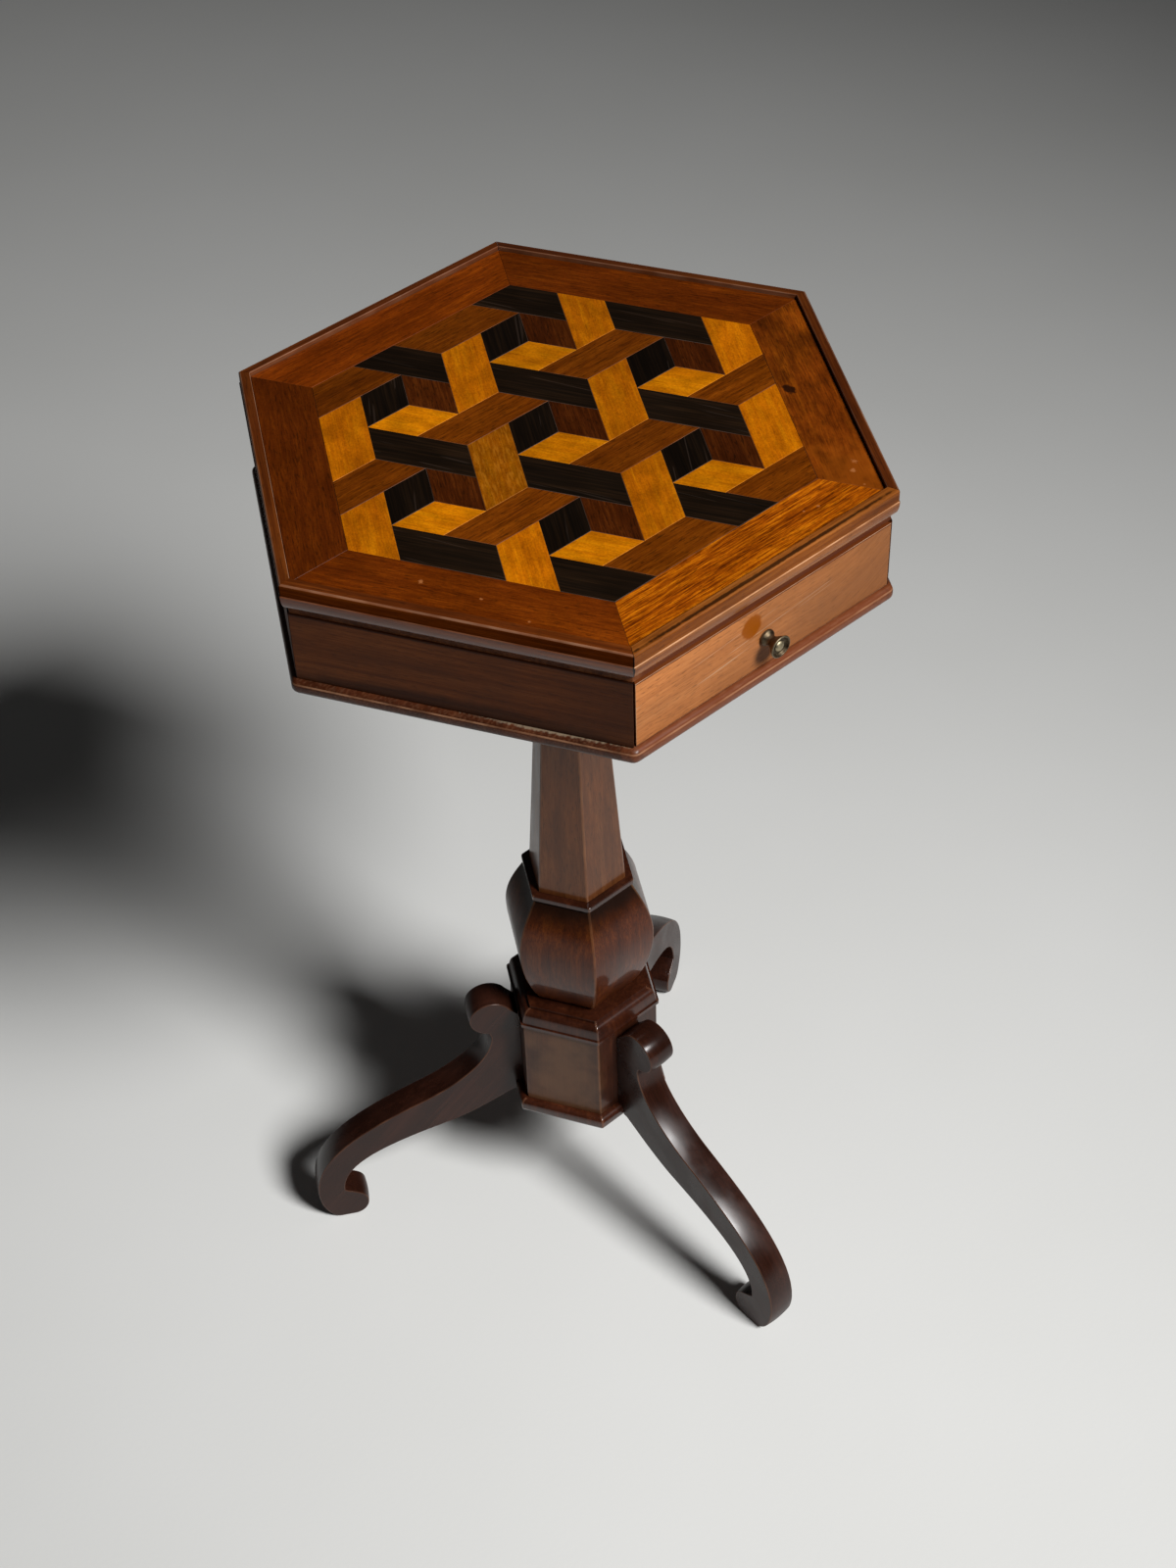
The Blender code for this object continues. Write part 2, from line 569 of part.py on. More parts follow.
def build_drawer():
    """Mitred front, two sides housed in it, a back between them and a bottom held in grooves."""
    low = CASE_BOTTOM + JOINT_GAP
    high = CASE_TOP - DRAWER_TOP_GAP
    inner = FRONT_INNER_APOTHEM
    section = [(inner, low), (CASE_APOTHEM, low), (CASE_APOTHEM, high), (inner, high)]
    front_mesh = mitred_length("drawer_front", section, 2 * DRAWER_END_GAP)
    front = add_part("drawer_front", front_mesh, MAHOGANY_FRONT)

    side_front = -inner - HOUSING_DEPTH
    outer_x = DRAWER_HALF_WIDTH
    inner_x = DRAWER_HALF_WIDTH - DRAWER_WALL
    groove_x = inner_x + GROOVE_DEPTH
    groove_front = -inner - GROOVE_DEPTH
    groove_low = DRAWER_BOTTOM_LOW - JOINT_GAP
    groove_high = DRAWER_BOTTOM_HIGH + JOINT_GAP

    groove = box_mesh("bottom_groove", (-groove_x - JOINT_GAP, groove_front - JOINT_GAP, groove_low),
                      (groove_x + JOINT_GAP, DRAWER_BACK_FACE + DRAWER_WALL, groove_high))
    groove_cutter = add_tool("bottom_groove", groove)
    combine(front, groove_cutter)

    for name, hand in (("drawer_side_left", -1), ("drawer_side_right", 1)):
        near, far = sorted((hand * inner_x, hand * outer_x))
        body = box_mesh(name, (near, side_front, low), (far, DRAWER_BACK_FACE, DRAWER_SIDE_TOP))
        side = add_part(name, body, PINE)
        combine(side, groove_cutter)
        housing = box_mesh("housing", (near - JOINT_GAP, side_front - JOINT_GAP, low - DRAWER_WALL),
                           (far + JOINT_GAP, 0, DRAWER_SIDE_TOP + JOINT_GAP))
        combine(front, add_tool(f"{name}_housing", housing))

    back_x = inner_x - JOINT_GAP
    back = box_mesh("drawer_back", (-back_x, DRAWER_BACK_FACE - DRAWER_WALL, groove_high),
                    (back_x, DRAWER_BACK_FACE, CASE_TOP - DRAWER_BACK_LOWERED))
    add_part("drawer_back", back, PINE)
    bottom = box_mesh("drawer_bottom", (-groove_x, groove_front, DRAWER_BOTTOM_LOW),
                      (groove_x, DRAWER_BACK_FACE, DRAWER_BOTTOM_HIGH))
    add_part("drawer_bottom", bottom, PINE)
    build_knob(front)


def build_knob(front):
    """A turned knob with a dished face, a shank through the front and a square nut behind it."""
    rim_top = KNOB_PROJECTION - KNOB_RIM / 2
    dish = KNOB_PROJECTION - KNOB_RADIUS / 4
    rim_middle = KNOB_RADIUS - KNOB_RIM / 2
    seat = JOINT_GAP
    nut_face = -FRONT_THICKNESS - JOINT_GAP
    shank_end = nut_face - NUT_THICKNESS - KNOB_SHANK_RADIUS / 2
    boss = sweep((0, KNOB_PROJECTION), (KNOB_BOSS_RADIUS / 2, KNOB_PROJECTION),
                 (KNOB_BOSS_RADIUS, (dish + KNOB_PROJECTION) / 2), (KNOB_BOSS_RADIUS, dish), 5)
    cup = [(KNOB_BOSS_RADIUS, dish), (rim_middle - KNOB_RIM, dish)]
    rim = arc((rim_middle, rim_top), KNOB_RIM / 2, 180, -60, 6)
    neck = sweep(rim[-1], (KNOB_NECK_RADIUS * 1.6, rim_top - KNOB_RADIUS / 2),
                 (KNOB_NECK_RADIUS, KNOB_PROJECTION / 2), (KNOB_NECK_RADIUS, KNOB_PROJECTION * 0.4), 6)[1:]
    foot = sweep((KNOB_NECK_RADIUS, KNOB_PROJECTION * 0.4), (KNOB_NECK_RADIUS, KNOB_PROJECTION * 0.2),
                 (KNOB_FOOT_RADIUS, KNOB_PROJECTION * 0.2), (KNOB_FOOT_RADIUS, KNOB_PROJECTION * 0.08), 5)
    shank = [(KNOB_FOOT_RADIUS, KNOB_PROJECTION * 0.08), (KNOB_FOOT_RADIUS, seat),
             (KNOB_SHANK_RADIUS, seat), (KNOB_SHANK_RADIUS, shank_end), (0, shank_end)]
    place = Matrix.Translation((0, -CASE_APOTHEM, KNOB_HEIGHT)) @ Matrix.Rotation(math.radians(90), 4, "X")
    knob = turned("drawer_knob", boss + cup + rim + neck + foot + shank, BRASS, ROUND_SIDES)
    knob.matrix_world = place

    hole = rod_mesh("knob_hole", KNOB_SHANK_RADIUS + JOINT_GAP, shank_end * 2, KNOB_PROJECTION)
    combine(front, add_tool("knob_hole", hole, place))
    half = NUT_SIDE / 2
    nut_body = box_mesh("knob_nut", (-half, -half, nut_face - NUT_THICKNESS), (half, half, nut_face))
    nut = add_part("knob_nut", nut_body, BRASS)
    nut.matrix_world = place
    combine(nut, bpy.data.objects["knob_hole"])


def build_bearer():
    """The hexagonal bearer under the case, screwed to it from below."""
    outer = corner_radius(BEARER_APOTHEM)
    lower = outer - corner_radius(BEARER_CHAMFER)
    profile = [(0, BEARER_TOP), (outer, BEARER_TOP), (outer, BEARER_BOTTOM + BEARER_CHAMFER),
               (lower, BEARER_BOTTOM), (0, BEARER_BOTTOM)]
    bearer = turned("column_bearer", profile, MAHOGANY_CASE, SIDES)
    below = BEARER_BOTTOM - BEARER_THICKNESS
    hole = rod_mesh("head_mortise", HEAD_TENON_RADIUS + JOINT_GAP, below, BOTTOM_BOARD_BOTTOM)
    combine(bearer, add_tool("head_mortise", hole))
    board = bpy.data.objects["bottom_board"]
    tip = BOTTOM_BOARD_BOTTOM + SCREW_BITE
    head_top = BEARER_BOTTOM + SCREW_HEAD_RADIUS
    profile = [(0, tip), (SCREW_SHANK_RADIUS, tip - SCREW_SHANK_RADIUS), (SCREW_SHANK_RADIUS, head_top),
               (SCREW_HEAD_RADIUS, head_top - SCREW_HEAD_RADIUS / 2), (SCREW_HEAD_RADIUS, BEARER_BOTTOM),
               (0, BEARER_BOTTOM)]
    for index in range(SCREW_COUNT):
        angle = math.radians(90) + math.tau * index / SCREW_COUNT
        spot = Matrix.Translation((SCREW_CIRCLE * math.cos(angle), SCREW_CIRCLE * math.sin(angle), 0))
        name = f"bearer_screw_{index + 1}"
        screw = turned(name, profile, STEEL, SCREW_ROUND_SIDES)
        screw.location = spot.translation
        slot = box_mesh("slot", (-2 * SCREW_HEAD_RADIUS, -SCREW_SLOT / 2, BEARER_BOTTOM - SCREW_SLOT),
                        (2 * SCREW_HEAD_RADIUS, SCREW_SLOT / 2, BEARER_BOTTOM + SCREW_SLOT))
        combine(screw, add_tool(f"{name}_slot", slot, spot))
        shank_hole = rod_mesh("shank_hole", SCREW_SHANK_RADIUS + JOINT_GAP, BEARER_BOTTOM, tip + JOINT_GAP)
        shank_tool = add_tool(f"{name}_shank_hole", shank_hole, spot)
        head_hole = rod_mesh("head_hole", SCREW_HEAD_RADIUS + JOINT_GAP, below, head_top + JOINT_GAP)
        combine(bearer, shank_tool)
        combine(bearer, add_tool(f"{name}_head_hole", head_hole, spot))
        combine(board, shank_tool)


def build_column():
    """Tapered shaft, square collar and swelling bulb, all six-sided and joined by round tenons."""
    profile = [(0, SHAFT_TOP), (SHAFT_TOP_RADIUS, SHAFT_TOP),
               (SHAFT_FOOT_RADIUS, SHAFT_BOTTOM), (0, SHAFT_BOTTOM)]
    shaft = turned("shaft", profile, MAHOGANY_COLUMN, SIDES)
    head = rod_mesh("head_tenon", HEAD_TENON_RADIUS, SHAFT_TOP - TENON_LAP, BEARER_TOP)
    combine(shaft, add_tool("head_tenon", head), "UNION")
    tenon_end = BULB_TOP - SHAFT_TENON_LENGTH
    tenon = rod_mesh("shaft_tenon", SHAFT_TENON_RADIUS, tenon_end, SHAFT_BOTTOM + TENON_LAP)
    combine(shaft, add_tool("shaft_tenon", tenon), "UNION")
    mortise = rod_mesh(
        "shaft_mortise", SHAFT_TENON_RADIUS + JOINT_GAP, tenon_end - JOINT_GAP, SHAFT_BOTTOM + COLLAR_HEIGHT)
    mortise_tool = add_tool("shaft_mortise", mortise)

    profile = [(0, COLLAR_TOP), (COLLAR_RADIUS, COLLAR_TOP),
               (COLLAR_RADIUS, COLLAR_BOTTOM), (0, COLLAR_BOTTOM)]
    collar = turned("shaft_collar", profile, MAHOGANY_COLUMN, SIDES)
    soften(collar, COLLAR_ARRIS, segments=2)
    combine(collar, mortise_tool)

    widest = BULB_TOP - BULB_SHOULDER
    steps = [i / BULB_STEPS for i in range(BULB_STEPS + 1)]
    shoulder = []
    belly = []
    for share in steps:
        swell = math.sin(share * math.pi / 2)
        radius = BULB_NECK_RADIUS + (BULB_RADIUS - BULB_NECK_RADIUS) * swell
        shoulder.append((radius, BULB_TOP + (widest - BULB_TOP) * share))
        draw_in = math.cos(share * math.pi / 2) ** BULB_FULLNESS
        radius = BULB_FOOT_RADIUS + (BULB_RADIUS - BULB_FOOT_RADIUS) * draw_in
        belly.append((radius, widest + (BULB_BOTTOM - widest) * share))
    profile = [(0, BULB_TOP)] + shoulder + belly[1:] + [(0, BULB_BOTTOM)]
    bulb = turned("bulb", profile, MAHOGANY_COLUMN, SIDES)
    combine(bulb, mortise_tool)
    bulb_end = BLOCK_TOP - BULB_TENON_LENGTH
    bulb_tenon = rod_mesh("bulb_tenon", BULB_TENON_RADIUS, bulb_end, BULB_BOTTOM + TENON_LAP)
    combine(bulb, add_tool("bulb_tenon", bulb_tenon), "UNION")


def build_base():
    """Ogee moulding, block with dovetail slots for the legs, and a plinth with a rounded edge."""
    mortise_end = BLOCK_TOP - BULB_TENON_LENGTH - JOINT_GAP
    mortise = rod_mesh("bulb_mortise", BULB_TENON_RADIUS + JOINT_GAP, mortise_end, BULB_TOP)
    mortise_tool = add_tool("bulb_mortise", mortise)

    top = BASE_MOULDING_TOP
    low = BASE_MOULDING_BOTTOM
    ogee_top = top - BASE_FILLET
    ogee_low = low + BASE_FILLET
    outer = BASE_MOULDING_RADIUS
    neck = outer - BASE_MOULDING_RUN
    swell = outer - BASE_FILLET
    shoulder = outer - BASE_FILLET / 2
    middle = (ogee_top + ogee_low) / 2
    ogee = sweep((neck, ogee_top), (swell, ogee_top), (swell, middle), (shoulder, ogee_low), 8)
    foot = [(shoulder, ogee_low), (outer, ogee_low), (outer, low), (0, low)]
    moulding = turned("base_moulding", [(0, top), (neck, top)] + ogee + foot, MAHOGANY_COLUMN, SIDES)
    combine(moulding, mortise_tool)

    profile = [(0, BLOCK_TOP), (BLOCK_RADIUS, BLOCK_TOP), (BLOCK_RADIUS, BLOCK_BOTTOM), (0, BLOCK_BOTTOM)]
    block = turned("base_block", profile, MAHOGANY_COLUMN, SIDES)
    combine(block, mortise_tool)
    for name, angle in LEG_ANGLES.items():
        slot = key_mesh(f"{name}_slot", JOINT_GAP, BLOCK_BOTTOM - PLINTH_THICKNESS)
        combine(block, add_tool(f"{name}_slot", slot, Matrix.Rotation(math.radians(angle), 4, "Z")))

    bead = PLINTH_BEAD * PLINTH_THICKNESS
    edge = corner_radius(PLINTH_APOTHEM) - bead
    upper = arc((edge, PLINTH_TOP - bead), bead, 90, 0, 4)
    lower = arc((edge, PLINTH_HEIGHT + bead), bead, 0, -90, 4)
    turned("base_plinth", [(0, PLINTH_TOP)] + upper + lower + [(0, PLINTH_HEIGHT)], MAHOGANY_COLUMN, SIDES)


def key_mesh(name, clearance, low):
    """A dovetail on the +X side that is wider inside the block, grown by a clearance for its slot."""
    high = BLOCK_BOTTOM + KEY_HEIGHT + clearance
    neck = KEY_NECK / 2 + clearance
    root = neck + KEY_FLARE
    inside = BLOCK_APOTHEM - KEY_DEPTH - clearance
    outside = BLOCK_APOTHEM + KEY_LAP
    flare_out = neck - KEY_FLARE * KEY_LAP / KEY_DEPTH
    outline = [(inside, -root), (outside, -flare_out), (outside, flare_out), (inside, root)]
    mesh = outline_mesh(name, outline, high - low)
    mesh.transform(Matrix.Translation((0, 0, (low + high) / 2)))
    return mesh


def leg_outline():
    """The leg's side view as (distance from the axis, height): scroll, swept shank and curled foot.

    The handles of each curve are shares of the leg's run and rise, or of the foot's length and rise.
    """
    face = BLOCK_APOTHEM + JOINT_GAP
    notch_face = PLINTH_APOTHEM + JOINT_GAP
    notch_top = PLINTH_TOP + JOINT_GAP
    scroll = Vector((face + SCROLL_OUT, BLOCK_TOP - SCROLL_DROP))
    run = LEG_REACH - face
    rise = scroll.y
    fall = math.radians(KNEE_SLOPE)
    downhill = Vector((math.cos(fall), -math.sin(fall)))

    def leg(along, up):
        return Vector((run * along, rise * up))

    def foot(along, up):
        return Vector((FOOT_LENGTH * along, FOOT_RISE * up))

    crook = scroll + Vector((SCROLL_RADIUS / 10, -SCROLL_RADIUS * CROOK_DROP))
    knee = Vector((face, 0)) + leg(KNEE_ALONG, KNEE_UP)
    under = knee - Vector((-downhill.y, downhill.x)) * LEG_DEPTH
    front = Vector((LEG_REACH, FOOT_RISE))
    sole_out = Vector((LEG_REACH, 0)) - foot(SOLE_OUT, 0)
    sole_in = Vector((LEG_REACH, 0)) - foot(SOLE_IN, 0)
    toe = Vector((LEG_REACH, 0)) + foot(-1, TOE_UP)
    ankle = Vector((LEG_REACH - ANKLE_DEPTH, FOOT_RISE))
    root = Vector((notch_face, PLINTH_HEIGHT + PLINTH_THICKNESS / 5))

    upper = sweep(crook, crook + leg(0, -0.114), knee - downhill * run * 0.18, knee)
    shin = sweep(knee, knee + downhill * run * 0.28, front + leg(0, 0.235), front)
    heel = sweep(front, front + foot(0, -0.56), sole_out + foot(0.2, 0), sole_out, 6)
    curl = sweep(sole_in, sole_in + foot(-0.17, 0), toe + foot(0, -0.25), toe, 6)
    instep = sweep(toe, toe + foot(0, 0.33), ankle + foot(-0.22, -0.16), ankle, 6)
    arch = sweep(ankle, ankle + leg(0, 0.146), under + leg(0.315, -0.075), under)
    thigh = sweep(under, under + leg(-0.14, 0.034), root + leg(0.087, -0.037), root)
    top = arc(scroll, SCROLL_RADIUS, 150, -80, 13)
    seat = [tuple(root), (notch_face, notch_top), (face, notch_top), (face, scroll.y)]
    return top + upper + shin + heel + [tuple(sole_out)] + curl + instep + arch + thigh + seat


def build_legs():
    """Three legs of one shape, each with a dovetail key that slides up into the block."""
    flat = outline_mesh("leg", leg_outline(), LEG_THICKNESS)
    flat.transform(Matrix.Rotation(math.radians(90), 4, "X"))
    key = key_mesh("leg_key", 0.0, BLOCK_BOTTOM + JOINT_GAP)
    for name, angle in LEG_ANGLES.items():
        leg = add_part(name, flat.copy(), MAHOGANY_LEG, turn=angle)
        soften(leg, LEG_ARRIS, segments=1, angle=60)
        combine(leg, add_tool(f"{name}_key", key, Matrix.Rotation(math.radians(angle), 4, "Z")), "UNION")


def place_on_middle():
    """Every piece is laid out round the column, which then moves back to its place."""
    column = bpy.data.objects.new("column_axis", None)
    column.location.y = COLUMN_Y
    for item in PARTS.objects[:] + CUTTERS.objects[:]:
        item.parent = column
    PARTS.objects.link(column)


build_top_board()
build_parquetry()
build_border()
build_top_moulding()
build_case()
build_drawer()
build_bearer()
build_column()
build_base()
build_legs()
place_on_middle()
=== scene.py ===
import math
from dataclasses import dataclass, replace

import bmesh
import bpy
from mathutils import Matrix, Vector
from mathutils.geometry import interpolate_bezier


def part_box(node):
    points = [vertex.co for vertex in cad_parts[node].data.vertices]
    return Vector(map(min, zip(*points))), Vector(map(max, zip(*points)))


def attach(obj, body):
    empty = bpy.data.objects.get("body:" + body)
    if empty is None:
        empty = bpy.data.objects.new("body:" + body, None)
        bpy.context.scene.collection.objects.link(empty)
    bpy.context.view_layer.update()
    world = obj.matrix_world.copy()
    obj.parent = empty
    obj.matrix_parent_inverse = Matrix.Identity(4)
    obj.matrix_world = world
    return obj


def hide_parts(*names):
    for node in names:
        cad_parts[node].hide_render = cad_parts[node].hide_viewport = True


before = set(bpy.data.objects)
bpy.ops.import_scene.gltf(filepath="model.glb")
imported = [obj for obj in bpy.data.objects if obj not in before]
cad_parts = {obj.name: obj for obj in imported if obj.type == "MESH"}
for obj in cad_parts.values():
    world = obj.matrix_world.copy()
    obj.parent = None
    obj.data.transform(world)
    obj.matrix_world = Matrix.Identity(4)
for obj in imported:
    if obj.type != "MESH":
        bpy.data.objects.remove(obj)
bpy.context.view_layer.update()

# Looks of the hexagonal side table: most visible pieces are built again with eased edges and grain, in
# metres, and the rest keep their shape and get materials.

# Camera, as the photograph was taken
CAMERA_PLACE = (-0.7824, -0.922, 1.6346)
CAMERA_TARGET = (-0.0129, -0.0131, 0.45)
CAMERA_ROLL = -2.13  # degrees
CAMERA_LENS = 58.51  # millimetres, on a sensor of 36 along the picture's long side

# Light and floor
KEY_PLACE = (0.356, -2.938, 3.486)
KEY_TARGET = (-0.116, -0.03, 0.0)
KEY_SIZE = 1.3
KEY_POWER = 20.8
KEY_SPREAD = 51.0  # degrees
ROOM_LIGHT = 0.02
FLOOR_SIZE = 14.0
FLOOR_DROP = 0.0001  # keeps the floor just below the soles
FLOOR_DIM = (222, 222, 219)
FLOOR_PALE = (230, 230, 228)
FLOOR_CLOUDS = (3, 3)  # waves per metre
FLOOR_GRIT = (240, 240)

# Grain and wear that all woods share: waves per metre along and across, and ranges of noise
CALM = (0.3, 0.7)
WIDE = (0.25, 0.75)
GRAIN_WANDER = 0.004  # how far the grain strays from straight
SWAY_WAVES = (7, 30)
PORE_WAVES = (150, 1100)
PORE_NOISE = (0.57, 0.69)
PORE_SHADE = 0.45  # of the wood's dark colour
DOT_WAVES = (700, 900)
RUB_WAVES = (60, 90)
RUB_LEAST = 0.35  # wear where an edge is rubbed least
FLECK_WAVES = (130, 760)
FLECK_NOISE = (0.45, 0.7)
SCRATCH_ANGLE = 5  # degrees off the grain
SCRATCH_WAVES = (2, 700)
SCRATCH_NOISE = (0.67, 0.73)
LENGTH_WAVES = (22, 130)  # breaks the scratches into lengths
LENGTH_NOISE = (0.54, 0.62)
POLISH_RANGE = (0.75, 1.4)  # of a coat's roughness
FIBRE_WAVES = (45, 1500)  # raised fibres
SWELL_WAVES = (24, 60)
SWELL_HEIGHT = 3.0  # against the fibres
RELIEF_DEPTH = 0.0005
VENEER_VARIETY = 0.13  # how far the tones of like pieces differ
LEG_VARIETY = 0.06

# Metal, in waves per metre and shares of its bright colour
METAL_STAINS = (420, 420)
METAL_GRAIN = (1500, 1500)
METAL_RUB = (0.05, 0.3)
METAL_RAISED = 0.7
METAL_ROUGH = (0.42, 0.58)
METAL_RELIEF = 0.0003

# Joints and eased edges
TOUCHING = 0.000001  # points closer than this count as one
GLUE_LINE = 0.0003  # between pieces that touch
VENEER_GAP = 0.0001  # between two veneers
VENEER_ARRIS = 0.00022
BORDER_ARRIS = 0.00018
FRONT_ARRIS = 0.0005
COLUMN_ARRIS = 0.0011
BASE_ARRIS = 0.0009
LEG_ARRIS = 0.0008
LEG_CROWN = 0.0007  # how much the leg's top and underside round across its thickness

# Parquetry
RHOMB_SIDE = 0.03175
FIELD_RHOMBS = 5  # the field's side, counted in rhombs
MOTIF_STEP = 3  # rhomb sides between the middles of two cubes

# Moulding round the top
LIP_HEIGHT = 0.003
LIP_ARRIS = 0.0006  # softened inner edge of the lip
LIP_SHOULDER = 0.0022  # above the table's surface, where the lip turns down
LIP_ROUND = 0.0012  # rounding of this turn
FASCIA_SETBACK = 0.0005  # upright face, behind the sharp edge below it
ARRIS_DROP = 0.0064  # from the table's surface to this sharp edge
LOWER_RETURN = 0.0026  # how far the lower part goes back in
LIP_CRACK = 0.0046  # dark line along the front lip, from its inner face

# Case and drawer
BOTTOM_NOSE = 0.4  # rounding of the bottom board's edge, as a share of its thickness
BOTTOM_CORNER = 0.005
DRAWER_END_GAP = 0.0009
DRAWER_SHIFT = 0.0004  # the front sits a hair to the right in its opening
DUSTY_LEDGE = (-0.13, -0.118)  # where dust lies on the bottom board, beside the left front side
HOUSING_DEPTH = 0.005
AMBER_ACROSS = -0.0118  # middle of the stain on the drawer front
AMBER_UP = 0.6805
BRINK_LEAN = (0.35, 0.6)  # how level the bottom board's pale brink lies, by its normal
BOTTOM_FLECKS = 0.07
LEVEL = 0.6  # least upward share of the normal of a level face

# Knob
KNOB_PROJECTION = 0.0125
KNOB_NECK_RADIUS = 0.0033
KNOB_FOOT_RADIUS = 0.0054
KNOB_BOSS_RADIUS = 0.0036
KNOB_RIM = 0.0013
KNOB_SHANK_RADIUS = 0.0022
KNOB_NECK_END = 0.4  # shares of the projection
KNOB_FOOT_TOP = 0.2
KNOB_FOOT_EDGE = 0.08
KNOB_NECK_FLARE = 1.6  # of the neck's radius, where it meets the rim
KNOB_RIM_RUB = 0.3

# Column and base, by corner radius
SHAFT_TOP_RADIUS = 0.0172
SHAFT_FOOT_RADIUS = 0.0356
BULB_NECK_SETBACK = 0.002
BULB_FOOT_RADIUS = 0.0385
BULB_SHOULDER = 0.046
BULB_FULLNESS = 0.8
BASE_MOULDING_RUN = 0.009
BASE_FILLET = 0.0028
PLINTH_BEAD = 0.38  # rounding of the plinth's edge, as a share of its thickness

# Legs
LEG_THICKNESS = 0.022
LEG_DEPTH = 0.035
SCROLL_RADIUS = 0.0168
SCROLL_OUT = 0.0205
SCROLL_DROP = 0.0075
FOOT_LENGTH = 0.039
FOOT_RISE = 0.032
ANKLE_DEPTH = 0.022
KNEE_ALONG = 0.456
KNEE_UP = 0.61
KNEE_SLOPE = 25.0  # degrees below level
CROOK_DROP = 1.22  # notch under the scroll, in scroll radii
SOLE_OUT = 0.41  # ends of the flat sole, as shares of the foot's length
SOLE_IN = 0.69
TOE_UP = 0.45  # toe's tip, as a share of the foot's rise

# Handles of the leg's curves, as shares of its run and rise
CROOK_PULL = (0, -0.114)
KNEE_PULL = (0.18, 0.28)  # up and down the slope
FRONT_PULL = (0, 0.235)
ANKLE_PULL = (0, 0.146)
ARCH_PULL = (0.315, -0.075)
THIGH_PULL = (-0.14, 0.034)
ROOT_PULL = (0.087, -0.037)

# Handles of the foot's curves, as shares of its length and rise
HEEL_PULL = (0, -0.56)
SOLE_OUT_PULL = (0.2, 0)
SOLE_IN_PULL = (-0.17, 0)
TOE_LOW_PULL = (0, -0.25)
TOE_HIGH_PULL = (0, 0.33)
INSTEP_PULL = (-0.22, -0.16)

# Counts
SIDES = 6
KNOB_STEPS = 48
BULB_STEPS = 22
CURVE_POINTS = 18

COS30 = math.cos(math.radians(30))
TAN30 = math.tan(math.radians(30))
SIDE_NAMES = ("front", "right_front", "right_back", "back", "left_back", "left_front")
LEG_ANGLES = {"leg_front": -90, "leg_right": 30, "leg_left": 150}
UP = Vector((0, 0, 1))


def low(node):
    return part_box(node)[0]


def high(node):
    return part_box(node)[1]


def heights(node):
    return low(node).z, high(node).z


# Places read from the frame
AXIS = Vector((0, (low("shaft").y + high("shaft").y) / 2, 0))
VENEER_BOTTOM, SURFACE = heights("border_strip_front")
FIELD_APOTHEM = FIELD_RHOMBS * RHOMB_SIDE * COS30
BORDER_APOTHEM = AXIS.y - high("border_strip_front").y
LIP_APOTHEM = AXIS.y - low("border_strip_front").y
MOULDING_BOTTOM = low("top_moulding_front").z
MOULDING_APOTHEM = AXIS.y - low("top_moulding_front").y
CASE_APOTHEM = AXIS.y - low("drawer_front").y
FRONT_INNER_APOTHEM = AXIS.y - high("drawer_front").y
BLOCK_RADIUS = high("base_block").x
BLOCK_APOTHEM = BLOCK_RADIUS * COS30
PLINTH_RADIUS = high("base_plinth").x
LEG_REACH = AXIS.y - low("leg_front").y
FRONT_FACE = low("drawer_front").y
FRONT_LOW, FRONT_TOP = heights("drawer_front")
FRONT_MIDDLE = (FRONT_LOW + FRONT_TOP) / 2
MITRE = Vector((-MOULDING_APOTHEM * TAN30, AXIS.y - MOULDING_APOTHEM))  # the moulding's nearest corner
BLOCK_MIDDLE = sum(heights("base_block")) / 2
BLOCK_SHEEN_REACH = 1.35 * BLOCK_APOTHEM  # reach of the painted sheen that makes the middle of the block's left front face pale


def srgb(red, green, blue):
    """A colour as it looks on a screen, 0 to 255, made linear."""
    parts = [channel / 255 for channel in (red, green, blue)]
    return (*[c / 12.92 if c <= 0.04045 else ((c + 0.055) / 1.055) ** 2.4 for c in parts], 1.0)


def vary(index, spread):
    """A fixed scatter about 1, different for each index."""
    return 1 + spread * math.sin(index * 12.9898 + 4.1)


